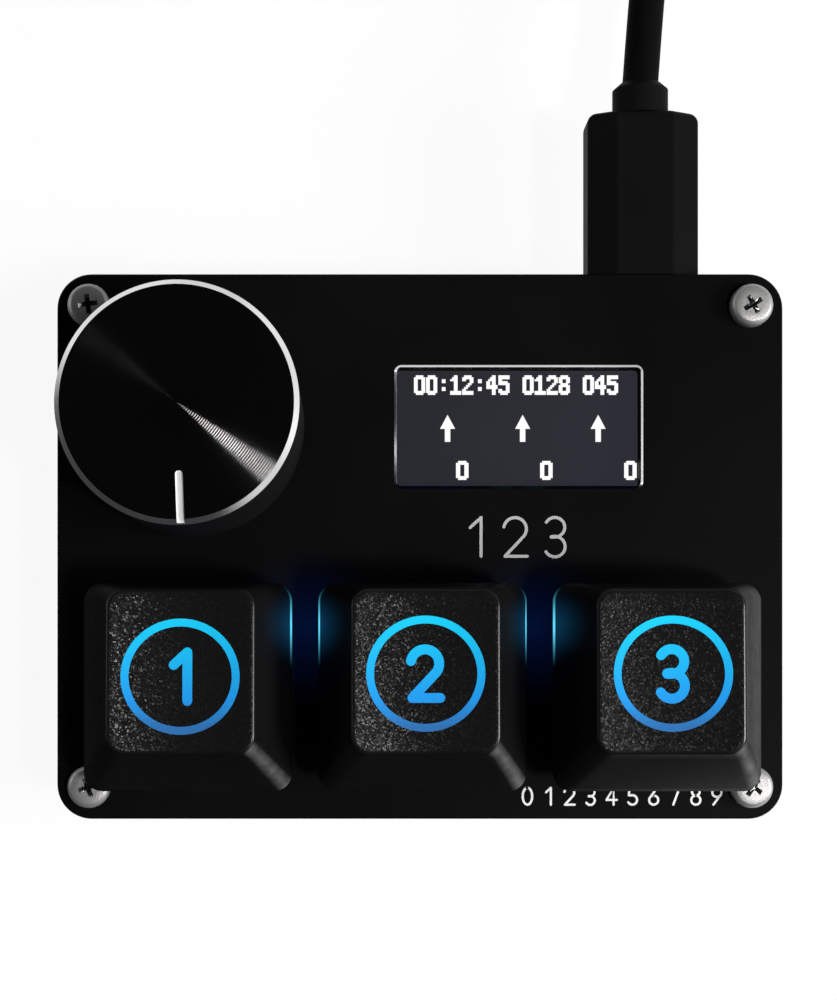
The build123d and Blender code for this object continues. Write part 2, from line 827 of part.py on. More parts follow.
def display_panel():
    front, rear, top = glass_span()
    low_x = window_x - glass_width / 2
    high_x = window_x + glass_width / 2
    middle = top - glass_upper
    back = span((low_x, front, middle - glass_lower), (high_x, rear, middle))
    cover = span((low_x, front + glass_ledge, middle), (high_x, rear, top))
    return back + cover


def display_foam():
    front, rear, top = glass_span()
    high = top - glass_upper - glass_lower
    width = glass_width - 2 * foam_inset
    depth = rear - front - 2 * foam_inset
    pad = slab(width, depth, board_top_z, high, foam_corner)
    return at(window_x, (front + rear) / 2) * pad


def display_ribbon():
    """Flat lead from the glass's ledge down into its connector."""
    front, rear, top = glass_span()
    high = top - glass_upper + ribbon_thickness / 2
    low = board_top_z + connector_height / 2
    turn_y = front - ribbon_reach
    path = FilletPolyline(
        (window_x, front + ribbon_lap, high),
        (window_x, turn_y, high),
        (window_x, turn_y, low),
        (window_x, turn_y - ribbon_reach, low),
        radius=ribbon_bend,
    )
    start = Plane(origin=path @ 0, x_dir=(1, 0, 0), z_dir=path % 0)
    return sweep(start * Rectangle(ribbon_width, ribbon_thickness), path)


def ribbon_connector():
    front, rear, top = glass_span()
    mouth_y = front - 2 * ribbon_reach + connector_mouth
    top_z = board_top_z + connector_height
    block = slab(connector_width, connector_depth, board_top_z, top_z, connector_corner)
    middle = board_top_z + connector_height / 2
    half = ribbon_width / 2 + connector_side_room
    room = ribbon_thickness / 2 + connector_slot_room
    slot_end = mouth_y - connector_mouth - connector_slot_room
    slot = span((window_x - half, slot_end, middle - room), (window_x + half, mouth_y, middle + room))
    return at(window_x, mouth_y - connector_depth / 2) * block - slot


# --- port and plug -------------------------------------------------------


def port_prism(width, height, low_y, high_y):
    """Flat-sided oval bar along Y at the port's height."""
    face = Plane(origin=(0, low_y, port_z), x_dir=(1, 0, 0), z_dir=(0, 1, 0))
    return extrude(face * RectangleRounded(width, height, height * port_round), high_y - low_y)


def port_shell():
    front = case_rear_y - port_setback
    shell = port_prism(port_width, port_height, front - port_length, front)
    shell -= port_prism(port_width - 2 * port_wall, port_height - 2 * port_wall, front - port_length, front)
    return at(port_x, 0) * shell


def port_tongue():
    back = case_rear_y - port_setback - port_length
    front = back + tongue_block
    walls = 2 * (port_wall + port_fit)
    block = port_prism(port_width - walls, port_height - walls, back, front)
    half_x = tongue_width / 2
    half_z = tongue_thickness / 2
    tongue = span((-half_x, front, port_z - half_z), (half_x, front + tongue_length, port_z + half_z))
    return at(port_x, 0) * (block + tongue)


def plug_shell():
    low = plug_face_y - plug_shell_length
    high = plug_face_y + plug_shell_grip
    shell = port_prism(plug_shell_width, plug_shell_height, low, high)
    wall = 2 * plug_shell_wall
    return shell - port_prism(plug_shell_width - wall, plug_shell_height - wall, low, high)


def plug_body():
    half_x = plug_width / 2
    half_z = plug_height / 2
    corner = [(plug_facet_x, half_z), (half_x, half_z - plug_facet_z)]
    right = corner + [(x, -z) for x, z in reversed(corner)]
    outline = right + [(-x, z) for x, z in reversed(right)]
    face = Plane(origin=(0, plug_face_y, port_z), x_dir=(1, 0, 0), z_dir=(0, 1, 0))
    body = extrude(face * make_face(Polyline(*outline, close=True)), plug_length)
    body = fillet(body.edges().filter_by(Axis.Y), plug_edge_radius)
    body = fillet(body.faces().sort_by(Axis.Y)[-1].edges(), plug_rear_radius)
    return at(port_x, 0) * (body - plug_shell())


def strain_relief():
    low = plug_face_y + plug_length
    profile = Polyline(
        (0, 0),
        (relief_radius, 0),
        (relief_radius, relief_straight),
        (relief_tip_radius, relief_length),
        (0, relief_length),
        close=True,
    )
    return at(port_x, low, port_z) * Rot(-90, 0, 0) * revolve(Plane.XZ * make_face(profile), Axis.Z)


# --- cable ---------------------------------------------------------------


def bend_radii(points):
    """Arc at each point that leaves a little of the straight run on both sides."""
    radii = []
    for before, here, after in zip(points, points[1:], points[2:]):
        first = Vector(*here) - Vector(*before)
        second = Vector(*after) - Vector(*here)
        half_turn = math.radians(first.get_angle(second)) / 2
        radii.append(bend_share * min(first.length, second.length) / math.tan(half_turn))
    return radii


def cable_tube(points, name):
    radii = bend_radii(points)
    path = FilletPolyline(*points, radius=radii)
    section = Plane(origin=path @ 0, z_dir=path % 0) * Circle(cable_radius)
    print(name, "length", round(path.length, 1), "radii", [round(r, 1) for r in radii])
    return sweep(section, path)


def cable_coil():
    """Outer shape of the wound turns."""
    section = at(coil_mean_radius, coil_height / 2) * Rectangle(coil_width, coil_height)
    section = chamfer(section.vertices(), coil_edge_chamfer)
    turns = coil_rings * coil_layers
    print("coil length", round(turns * 2 * math.pi * coil_mean_radius, 1))
    return at(coil_x, coil_y) * revolve(Plane.XZ * section, Axis.Z)


def cable_tie():
    """Flat band once round the turns, which give way under it where it lies on the surface."""
    outer = Rectangle(coil_width + 2 * tie_wall, coil_height + tie_wall)
    outer = chamfer(outer.vertices(), coil_edge_chamfer)
    inner = Rectangle(coil_width - 2 * tie_grip, coil_height - tie_grip - tie_wall)
    inner = chamfer(inner.vertices(), coil_edge_chamfer)
    loop = at(0, (coil_height + tie_wall) / 2) * outer
    loop -= at(0, (coil_height - tie_grip + tie_wall) / 2) * inner
    band = extrude(Plane.XZ * loop, tie_width / 2, both=True)
    return at(coil_x, coil_y) * Rot(0, 0, tie_angle) * at(coil_mean_radius, 0) * band


# The far plug points to the rear, with its moulding's front face on the lead's end.


def far_plug_body():
    x, y, z = tail_points[-1]
    half_x = far_plug_width / 2
    half_z = far_plug_height / 2
    body = span((x - half_x, y, z - half_z), (x + half_x, y + far_plug_length, z + half_z))
    body = fillet(body.edges().filter_by(Axis.Y), far_plug_round)
    body = fillet(body.faces().sort_by(Axis.Y)[0].edges(), far_plug_round)
    return body - far_plug_shell()


def far_plug_shell():
    x, y, z = tail_points[-1]
    near = y + far_plug_length - far_shell_grip
    far = y + far_plug_length + far_shell_length
    half_x = far_shell_width / 2
    half_z = far_shell_height / 2
    shell = span((x - half_x, near, z - half_z), (x + half_x, far, z + half_z))
    inner_x = half_x - far_shell_wall
    inner_z = half_z - far_shell_wall
    shell -= span((x - inner_x, near, z - inner_z), (x + inner_x, far, z + inner_z))
    window = Box(far_window, far_window, 2 * far_shell_height)
    window_row_y = far - far_shell_length / 2
    for side in (-1, 1):
        shell -= at(x + side * far_shell_width / 4, window_row_y, z) * window
    return shell


def far_plug_insert():
    x, y, z = tail_points[-1]
    near = y + far_plug_length
    far = near + far_shell_length - far_insert_setback
    wall = far_shell_wall + far_insert_clearance
    half_x = far_shell_width / 2 - wall
    low_z = z - far_shell_height / 2 + wall
    return span((x - half_x, near, low_z), (x + half_x, far, low_z + far_insert_height))


# --- assembly ------------------------------------------------------------


def build_nodes():
    nodes = {
        "bottom_case": bottom_case(),
        "top_plate": top_plate(),
        "top_plate_screws": top_plate_screws(),
        "threaded_inserts": threaded_inserts(),
        "rubber_feet": rubber_feet(),
        "circuit_board": circuit_board(),
        "controller_chip": controller_chip(),
        "small_components": small_components(),
        "key_leds": key_leds(),
        "switch_contacts": switch_contacts(),
        "display_panel": display_panel(),
        "display_foam": display_foam(),
        "display_ribbon": display_ribbon(),
        "ribbon_connector": ribbon_connector(),
        "dial": at(dial_x, dial_y) * dial(),
        "dial_grub_screw": at(dial_x, dial_y) * dial_grub_screw(),
        "usb_port_shell": port_shell(),
        "usb_port_tongue": port_tongue(),
        "usb_plug_shell": at(port_x, 0) * plug_shell(),
        "usb_plug_body": plug_body(),
        "strain_relief": strain_relief(),
        "cable_lead": cable_tube(lead_points, "lead"),
        "cable_coil": cable_coil(),
        "cable_tie": cable_tie(),
        "cable_tail": cable_tube(tail_points, "tail"),
        "far_plug_body": far_plug_body(),
        "far_plug_shell": far_plug_shell(),
        "far_plug_insert": far_plug_insert(),
    }
    key_pieces = {
        "switch_base": switch_base(),
        "switch_cover": switch_cover(),
        "switch_stem": switch_stem(),
        "return_spring": return_spring(),
        "keycap": keycap(),
    }
    for number, x in enumerate(key_xs, start=1):
        for name, piece in key_pieces.items():
            nodes[f"{name}_{number}"] = at(x, key_row_y, plate_top_z) * piece
    encoder_pieces = {
        "encoder_base": encoder_base(),
        "encoder_bushing": encoder_bushing(),
        "encoder_frame": encoder_frame(),
        "encoder_terminals": encoder_terminals(),
        "encoder_rotor": encoder_rotor(),
        "encoder_shaft": encoder_shaft(),
        "encoder_dome": encoder_dome(),
    }
    for name, piece in encoder_pieces.items():
        nodes[name] = at(dial_x, dial_y, board_top_z) * piece
    return nodes


os.makedirs("parts", exist_ok=True)
for node, shape in build_nodes().items():
    export_step(shape, f"parts/{node}.step")
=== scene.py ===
import bpy
import bmesh
import json
import math
from mathutils import Matrix, Vector


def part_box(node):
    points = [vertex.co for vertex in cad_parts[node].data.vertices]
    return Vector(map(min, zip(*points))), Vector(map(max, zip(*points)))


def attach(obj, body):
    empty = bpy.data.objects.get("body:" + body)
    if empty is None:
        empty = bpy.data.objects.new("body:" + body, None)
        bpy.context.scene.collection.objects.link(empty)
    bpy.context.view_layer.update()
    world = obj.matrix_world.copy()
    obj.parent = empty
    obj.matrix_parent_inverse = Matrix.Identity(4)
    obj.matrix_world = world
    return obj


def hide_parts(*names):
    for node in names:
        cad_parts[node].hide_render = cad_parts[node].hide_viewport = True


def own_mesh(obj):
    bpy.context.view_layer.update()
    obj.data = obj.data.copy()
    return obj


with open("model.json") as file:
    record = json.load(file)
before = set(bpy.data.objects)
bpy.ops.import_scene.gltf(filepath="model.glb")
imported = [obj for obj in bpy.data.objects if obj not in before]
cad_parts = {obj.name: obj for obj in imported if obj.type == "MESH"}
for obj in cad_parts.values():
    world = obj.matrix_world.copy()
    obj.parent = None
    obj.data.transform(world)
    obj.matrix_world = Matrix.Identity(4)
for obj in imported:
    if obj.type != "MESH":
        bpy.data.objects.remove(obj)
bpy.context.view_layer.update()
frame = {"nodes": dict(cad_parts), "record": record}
mm = 0.001
tau = 2 * math.pi
print("frame loaded")

# places read from the frame
plateLow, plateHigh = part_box("top_plate")
plateTop = plateHigh.z
dialLow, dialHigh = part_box("dial")
dialAxis = (dialLow + dialHigh) / 2
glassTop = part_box("display_panel")[1].z
keyNumbers = (1, 2, 3)
capBoxes = {n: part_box(f"keycap_{n}") for n in keyNumbers}


def link(obj):
    bpy.context.scene.collection.objects.link(obj)
    return obj


def scaled(values):
    # from millimetres to the frame's metres
    return tuple(v * mm for v in values)


def onCircle(cx, cy, radius, angle):
    return cx + radius * math.cos(angle), cy + radius * math.sin(angle)


class Graph:
    # the nodes of one material or world, and short ways to add to them
    def __init__(self, owner):
        owner.use_nodes = True
        self.owner = owner
        self.nodes, self.links = owner.node_tree.nodes, owner.node_tree.links
        self.shader = self.nodes.get("Principled BSDF")
        self.tint = self.bump = None  # a finish has both

    def add(self, kind):
        return self.nodes.new("ShaderNode" + kind)

    def feed(self, socket, value):
        # numbers and colours are set on the socket itself, and anything else is linked to it
        if isinstance(value, (int, float, tuple)):
            socket.default_value = value
        else:
            self.links.new(value, socket)

    def set(self, values):
        for name, value in values.items():
            self.feed(self.shader.inputs[name], value)

    def operate(self, kind, operation, values):
        node = self.add(kind)
        node.operation = operation
        for socket, value in zip(node.inputs, values):
            self.feed(socket, value)
        return node.outputs

    def calc(self, operation, *values):
        return self.operate("Math", operation, values)[0]

    def times(self, product, *values):
        for value in values:
            product = self.calc("MULTIPLY", product, value)
        return product

    def vector(self, operation, *values):
        outputs = self.operate("VectorMath", operation, values)
        return outputs["Value" if operation == "DOT_PRODUCT" else "Vector"]

    def hypot(self, first, second):
        squares = [self.calc("MULTIPLY", side, side) for side in (first, second)]
        return self.calc("SQRT", self.calc("ADD", *squares))

    def span(self, value, low, high, toLow, toHigh):
        # carries one range of values over to another
        node = self.add("MapRange")
        names = ("Value", "From Min", "From Max", "To Min", "To Max")
        for name, number in zip(names, (value, low, high, toLow, toHigh)):
            self.feed(node.inputs[name], number)
        return node.outputs[0]

    def vary(self, noise, low, high):
        # nearly all values of a noise texture lie between 0.3 and 0.7
        return self.span(noise, 0.3, 0.7, low, high)

    def axes(self, vector):
        node = self.add("SeparateXYZ")
        self.feed(node.inputs[0], vector)
        return node.outputs

    def place(self, kind="Object"):
        return self.add("TexCoord").outputs[kind]

    def noise(self, coords, size, detail=3.0, stretch=1.0):
        # its size is in mm, and a stretched one runs along X, as on a brushed surface
        node = self.add("TexNoise")
        self.feed(node.inputs["Scale"], 1 / (size * mm))
        self.feed(node.inputs["Detail"], detail)
        if stretch != 1:
            mapping = self.add("Mapping")
            self.feed(mapping.inputs["Scale"], (1 / stretch, 1, 1))
            self.feed(mapping.inputs["Vector"], coords)
            coords = mapping.outputs[0]
        self.feed(node.inputs["Vector"], coords)
        return node.outputs["Fac"]

    def mix(self, factor, first, second, blend="MIX"):
        node = self.add("Mix")
        node.data_type = "RGBA"
        node.blend_type = blend
        for name, value in (("Factor", factor), ("A", first), ("B", second)):
            self.feed(node.inputs[name], value)
        return node.outputs["Result"]

    def mixShaders(self, factor, first, second, output):
        node = self.add("MixShader")
        for socket, value in zip(node.inputs, (factor, first, second)):
            self.feed(socket, value)
        self.feed(self.nodes[output].inputs["Surface"], node.outputs[0])


# camera, floor and lamps
view = {
    "x": -6.0 * mm,
    "y": -9.8 * mm,
    "abovePlate": 165 * mm,
    "lens": 65.8,
    "sensor": 36.0,
    "shiftX": 0.0650,
    "shiftY": 0.155,
}

stage = {
    "floorSize": 3.0,
    "floorColour": (0.86, 0.86, 0.87, 1),
    "floorGlow": 0.92,  # share of plain white in what the camera sees of the floor
    "ambientColour": (0.62, 0.64, 0.68, 1),
    "ambientStrength": 0.22,
    "backdropGlow": 1.25,  # times the backdrop's own pale grey, as the camera sees it
    "backdropTop": 0.62,  # the white backdrop ends at this height of the sky
    "backdropFade": 0.35,  # and this far below it is at its full strength
    "brightSide": 50,  # degrees round the object, where the white surroundings are brightest
    "shadeEdge": (-0.15, -0.5),  # how far round from there they fall off
    "shade": 0.06,  # what is left of them on the far side
}

lamps = {
    "windowLamp": {"at": (0.42, -0.06, 0.26), "size": 0.20, "watts": 2.7, "colour": (1, 0.99, 0.97)},
    "deskLamp": {"at": (0.18, -0.11, 0.50), "size": 0.065, "watts": 1.45, "colour": (1, 0.98, 0.95)},
    "sideLamp": {"at": (-0.46, 0.10, 0.17), "size": 0.26, "watts": 0.4, "colour": (0.94, 0.97, 1)},
}


def addCamera():
    data = bpy.data.cameras.new("camera")
    data.lens = view["lens"]
    data.sensor_width = view["sensor"]
    data.shift_x = view["shiftX"]
    data.shift_y = view["shiftY"]
    data.clip_start = 0.005
    camera = link(bpy.data.objects.new("camera", data))
    camera.location = (view["x"], view["y"], plateTop + view["abovePlate"])
    bpy.context.scene.camera = camera


def addLamp(name, at, size, watts, colour):
    data = bpy.data.lights.new(name, "AREA")
    data.shape = "DISK"
    data.size = size
    data.energy = watts
    data.color = colour
    lamp = link(bpy.data.objects.new(name, data))
    lamp.location = at
    aim = Vector((0, 0, plateTop)) - Vector(at)
    lamp.rotation_euler = aim.to_track_quat("-Z", "Y").to_euler()


def surroundShade(graph, place):
    # how bright the white surroundings are in a reflection, by the way they lie from the object
    bright = math.radians(stage["brightSide"])
    flatWay = graph.vector("NORMALIZE", graph.vector("MULTIPLY", place, (1, 1, 0)))
    towards = graph.vector("DOT_PRODUCT", flatWay, (math.cos(bright), math.sin(bright), 0))
    return graph.span(towards, *stage["shadeEdge"], 1, stage["shade"])


def rayKinds(graph):
    # 1 for what the camera sees itself or through glass, and 1 for what a reflection sees
    path = graph.add("LightPath").outputs
    return graph.calc("MAXIMUM", path["Is Camera Ray"], path["Is Transmission Ray"]), path["Is Glossy Ray"]


def addFloor():
    half = stage["floorSize"] / 2
    mesh = bpy.data.meshes.new("floor")
    corners = [(-half, -half, 0), (half, -half, 0), (half, half, 0), (-half, half, 0)]
    mesh.from_pydata(corners, [], [(0, 1, 2, 3)])
    floor = link(bpy.data.objects.new("floor", mesh))
    graph = Graph(bpy.data.materials.new("floorPaper"))
    graph.set({"Base Color": stage["floorColour"], "Roughness": 0.9, "Specular IOR Level": 0.1})
    plain, mirrored = rayKinds(graph)
    glow = graph.add("Emission")
    around = graph.times(mirrored, surroundShade(graph, graph.place()))
    graph.feed(glow.inputs["Strength"], graph.calc("ADD", plain, around))
    seen = graph.times(plain, stage["floorGlow"])
    share = graph.calc("MAXIMUM", seen, mirrored)
    graph.mixShaders(share, graph.shader.outputs[0], glow.outputs[0], "Material Output")
    mesh.materials.append(graph.owner)


def addWorld():
    graph = Graph(bpy.data.worlds.new("studio"))
    bpy.context.scene.world = graph.owner
    ambient, backdrop = graph.nodes["Background"], graph.add("Background")
    graph.feed(ambient.inputs["Color"], stage["ambientColour"])
    graph.feed(ambient.inputs["Strength"], stage["ambientStrength"])
    plain, mirrored = rayKinds(graph)
    share = graph.calc("MAXIMUM", plain, mirrored)
    graph.mixShaders(share, ambient.outputs[0], backdrop.outputs[0], "World Output")

    # reflections see a white wall all round under a dark ceiling
    direction = graph.place("Generated")
    top = stage["backdropTop"]
    wall = graph.span(graph.axes(direction)[2], top, top - stage["backdropFade"], 0, 1)
    around = graph.times(wall, surroundShade(graph, direction))
    seen = graph.times(plain, stage["backdropGlow"])
    graph.feed(backdrop.inputs["Strength"], graph.calc("MAXIMUM", around, seen))


bpy.context.scene.view_settings.view_transform = "Standard"
addCamera()
addWorld()
addFloor()
for lampName, lamp in lamps.items():
    addLamp(lampName, **lamp)
print("camera, floor and lamps set")

# the lead: off the strain relief, down to the surface, and wound up behind the keypad
lead = {
    "radius": 1.65,
    "exit": (20.4, 42.7, 10.2),
    "route": [
        (20.4, 42.6, 10.2),
        (20.9, 49.4, 10.1),
        (22.0, 57.6, 7.6),
        (21.8, 67.0, 1.7),
        (22.2, 77.0, 1.65),
    ],
    "coilCentre": (-4.8, 86.0),
    "outerTurn": 26.5,
    "turnStep": 3.3,
    "turns": 6,  # in each of the two layers
    "evenShare": 0.5,  # of a turn that each layer starts with before it winds in or out
    "climbShare": 0.7,  # of a turn that the lead takes to climb on the lower layer
    "pointsPerTurn": 16,
    "tail": [(22.0, 93.5, 4.9), (23.6, 100.5, 4.1), (24.0, 107.5, 3.9)],
}


def coilTurns():
    # one layer wound inwards on the surface, then one outwards on top of it
    points = []
    perTurn, step, low = lead["pointsPerTurn"], lead["turnStep"], lead["radius"]
    steps = lead["turns"] * perTurn
    outer = lead["outerTurn"]
    inner = outer - (lead["turns"] - 1) * step
    for i in range(steps):
        radius = max(outer - step * max(i / perTurn - lead["evenShare"], 0), inner)
        points.append((*onCircle(*lead["coilCentre"], radius, tau * i / perTurn), low))
    for i in range(steps + 1):
        radius = min(inner + step * max(i / perTurn - lead["evenShare"], 0), outer)
        rise = min(i / (perTurn * lead["climbShare"]), 1)
        z = low + step * rise * rise * (3 - 2 * rise)
        points.append((*onCircle(*lead["coilCentre"], radius, tau * i / perTurn), z))
    return points


def buildLead():
    points = lead["route"] + coilTurns() + lead["tail"]
    curve = bpy.data.curves.new("lead", "CURVE")
    curve.dimensions = "3D"
    spline = curve.splines.new("NURBS")
    spline.points.add(len(points) - 1)
    for target, point in zip(spline.points, points):
        target.co = (*scaled(point), 1)
        target.radius = lead["radius"] * mm
    spline.order_u = 3
    spline.use_endpoint_u = True
    spline.resolution_u = 6
    curve.bevel_depth = 1.0  # times each point's radius
    curve.bevel_resolution = 6
    curve.use_fill_caps = True
    return link(bpy.data.objects.new("lead", curve))


leadCurve = buildLead()
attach(leadCurve, "root")
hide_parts("cable_lead", "cable_coil", "cable_tail")
print("lead laid")


def look(colour, rough, grain, **others):
    # grain is the size and the depth of the surface's texture in mm
    usual = {"gloss": 0.5, "metal": 0, "coat": 0, "stretch": 1}
    return {"colour": (*colour, 1), "rough": rough, "grain": grain} | usual | others


finishes = {
    "plateBlack": look((0.0028, 0.0028, 0.0029), 0.45, (0.12, 0.002), gloss=0.02),
    "caseBlack": look((0.006, 0.006, 0.0065), 0.55, (0.35, 0.012), gloss=0.12),
    "screwSteel": look((0.30, 0.30, 0.30), 0.42, (0.16, 0.02), metal=0.6),
    "recessSteel": look((0.45, 0.45, 0.45), 0.14, (0.2, 0.004), metal=1),
    "insertBrass": look((0.62, 0.42, 0.16), 0.35, (0.2, 0.004), metal=1),
    "footRubber": look((0.011, 0.011, 0.011), 0.85, (0.3, 0.015), gloss=0.2),
    "boardBlack": look((0.006, 0.007, 0.008), 0.45, (0.6, 0.003), gloss=0.4),
    "chipBlack": look((0.012, 0.012, 0.013), 0.6, (0.15, 0.004), gloss=0.3),
    "partTin": look((0.5, 0.5, 0.5), 0.4, (0.2, 0.004), metal=1),
    "copperLeaf": look((0.7, 0.36, 0.2), 0.35, (0.3, 0.003), metal=1),
    "foamBlack": look((0.01, 0.01, 0.01), 0.95, (0.4, 0.05), gloss=0.05),
    "ribbonFilm": look((0.35, 0.16, 0.03), 0.3, (0.5, 0.002), coat=0.4),
    "connectorWhite": look((0.62, 0.6, 0.55), 0.5, (0.3, 0.004), gloss=0.4),
    "switchBlack": look((0.006, 0.006, 0.0065), 0.5, (0.3, 0.006), gloss=0.06),
    "switchClear": look((0.02, 0.024, 0.03), 0.3, (0.4, 0.003), gloss=0.2),
    "stemPlastic": look((0.36, 0.02, 0.014), 0.4, (0.3, 0.003), gloss=0.45),
    "springSteel": look((0.6, 0.6, 0.58), 0.25, (0.15, 0.002), metal=1),
    "capBlack": look((0.0040, 0.0040, 0.0043), 0.4, (0.24, 0.03), gloss=0.03),
    "dialSpun": look((0.028, 0.028, 0.028), 0.074, (0.2, 0.002), gloss=0.1, metal=0.93),
    "dialSide": look((0.004, 0.004, 0.0042), 0.3, (0.2, 0.003), gloss=0.9),
    "cutAluminium": look((0.78, 0.78, 0.79), 0.2, (0.12, 0.002), metal=1, stretch=3),
    "cutMark": look((0.40, 0.40, 0.41), 0.5, (0.15, 0.002), gloss=0.3),
    "scalePaint": look((0.72, 0.72, 0.72), 0.5, (0.15, 0.002), gloss=0.2),
    "markSilver": look((0.86, 0.86, 0.87), 0.35, (0.12, 0.004), metal=0.25),
    "grubBlack": look((0.02, 0.02, 0.02), 0.4, (0.15, 0.003), metal=1),
    "encoderPlastic": look((0.015, 0.05, 0.03), 0.5, (0.3, 0.004), gloss=0.4),
    "encoderZinc": look((0.5, 0.5, 0.5), 0.42, (0.3, 0.006), metal=1),
    "shaftMetal": look((0.55, 0.55, 0.56), 0.3, (0.12, 0.002), metal=1, stretch=5),
    "portSteel": look((0.5, 0.5, 0.5), 0.3, (0.25, 0.003), metal=1, stretch=3),
    "leadBlack": look((0.0030, 0.0030, 0.0032), 0.5, (0.25, 0.008), gloss=0.012),
    "plugBlack": look((0.0050, 0.0052, 0.0052), 0.46, (0.18, 0.006), gloss=0.012),
    "tieBlack": look((0.008, 0.008, 0.008), 0.95, (0.35, 0.12), gloss=0.05),
}

# slow changes of shade and of polish over every piece, as handled parts have
wear = {"patchSize": 14, "shade": (0.85, 1.15), "polish": 0.12}

# a slot in the record takes the finish of its own name, but for these
otherFinish = {
    "black_anodised": "plateBlack",
    "solder_tin": "partTin",
    "led_lens": "connectorWhite",
    "contact_copper": "copperLeaf",
    "display_glass": "chipBlack",
    "switch_base_black": "switchBlack",
    "switch_cover_clear": "switchClear",
    "keycap_black": "capBlack",
    "dial_black": "dialSide",
    "cable_black": "leadBlack",
}


def finishOf(slotName):
    first, *others = slotName.split("_")
    return otherFinish.get(slotName, first + "".join(word.capitalize() for word in others))


def makeFinish(name):
    own = finishes[name]
    graph = Graph(bpy.data.materials.new(name))
    coords = graph.place()
    size, depth = own["grain"]
    grain = graph.noise(coords, size, stretch=own["stretch"])
    patches = graph.noise(coords, wear["patchSize"], detail=2.0)
    rough, change = own["rough"], wear["polish"]
    polish = graph.calc("ADD", grain, patches)
    graph.tint = graph.mix(1, own["colour"], graph.vary(patches, *wear["shade"]), blend="MULTIPLY")
    graph.bump = graph.add("Bump")
    graph.feed(graph.bump.inputs["Distance"], depth * mm)
    graph.feed(graph.bump.inputs["Height"], grain)
    graph.set({
        "Base Color": graph.tint,
        "Roughness": graph.span(polish, 0.7, 1.3, rough * (1 - change), rough * (1 + change)),
        "Metallic": own["metal"],
        "Specular IOR Level": own["gloss"],
        "Coat Weight": own["coat"],
        "Normal": graph.bump.outputs[0],
    })
    return graph


made = {name: makeFinish(name).owner for name in finishes}


def dress(obj, material, body, slotName, *replaced):
    obj.data.materials.append(material)
    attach(obj, body)
    if replaced:
        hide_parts(*replaced)


leadCurve.data.materials.append(made["leadBlack"])
for part in frame["record"]["subparts"]:
    nodeObject = frame["nodes"][part["node"]]
    nodeObject.data.materials.clear()
    nodeObject.data.materials.append(made[finishOf(part["material_slot"])])
print("finishes set on the frame's pieces")


# mesh helpers: every outline is a list of points, and every size below is in mm
def arcPoints(cx, cy, radius, start, end, steps, radiusY=None):
    tall = radius if radiusY is None else radiusY
    angles = [math.radians(start + (end - start) * i / steps) for i in range(steps + 1)]
    return [(cx + radius * math.cos(a), cy + tall * math.sin(a)) for a in angles]


def roundedRing(width, depth, corner, steps=8, cx=0.0, cy=0.0, sideSteps=1):
    # the same number of points whatever the size, so that rings can be joined
    halfX = width / 2 - corner
    halfY = depth / 2 - corner
    arcs = []
    for turn, (sx, sy) in enumerate(((1, 1), (-1, 1), (-1, -1), (1, -1))):
        arcs.append(arcPoints(cx + sx * halfX, cy + sy * halfY, corner, 90 * turn, 90 * turn + 90, steps))
    ring = []
    for index, arc in enumerate(arcs):
        ring += arc
        (ax, ay), (bx, by) = arc[-1], arcs[(index + 1) % 4][0]
        for k in range(1, sideSteps):
            ring.append((ax + (bx - ax) * k / sideSteps, ay + (by - ay) * k / sideSteps))
    return ring


def crossOutline(reach, half, turn=0):
    # a plus sign, from its arms' length and half width, turned by some degrees
    outline = []
    for quarter in range(4):
        angle = math.radians(turn + 90 * quarter)
        c, s = math.cos(angle), math.sin(angle)
        outline += [(x * c - y * s, x * s + y * c) for x, y in ((reach, -half), (reach, half), (half, half))]
    return outline


def level(outline, z):
    return [(x, y, z) for x, y in outline]


def flatAt(height):
    # a surface of even height, for the functions that ask for the height at a point
    return lambda x, y: height


def turnBy(degrees, axis):
    return Matrix.Rotation(math.radians(degrees), 4, axis)


def meshObject(name, mesh, smoothAngle=35, move=None):
    if move is not None:
        bmesh.ops.transform(mesh, matrix=move, verts=mesh.verts)
    mesh.normal_update()
    data = bpy.data.meshes.new(name)
    bmesh.ops.recalc_face_normals(mesh, faces=mesh.faces)
    mesh.to_mesh(data)
    mesh.free()
    data.shade_smooth()
    data.set_sharp_from_angle(angle=math.radians(smoothAngle))
    return link(bpy.data.objects.new(name, data))


def addFace(mesh, outline, z):
    mesh.faces.new([mesh.verts.new(scaled(point)) for point in level(outline, z)])


def addRings(mesh, rings, closeStart=False, closeEnd=False):
    # joins a stack of point rings with quads and closes its ends if asked
    rows = [[mesh.verts.new(scaled(point)) for point in ring] for ring in rings]
    for low, high in zip(rows, rows[1:]):
        joinRows(mesh, low, high)
    if closeStart:
        mesh.faces.new(rows[0])
    if closeEnd:
        mesh.faces.new(rows[-1])
    return rows


def joinRows(mesh, low, high):
    count = len(low)
    for i in range(count):
        j = (i + 1) % count
        mesh.faces.new((low[i], low[j], high[j], high[i]))


def lathe(mesh, profile, steps=96, cx=0.0, cy=0.0):
    # profile is a list of (radius, height), from one end on the axis to the other
    angles = [tau * i / steps for i in range(steps)]
    rings = [level([onCircle(cx, cy, radius, a) for a in angles], height) for radius, height in profile[1:-1]]
    rows = addRings(mesh, rings)
    for row, (_, height) in ((rows[0], profile[0]), (rows[-1], profile[-1])):
        tip = mesh.verts.new(scaled((cx, cy, height)))
        for i in range(steps):
            mesh.faces.new((row[i], row[(i + 1) % steps], tip))


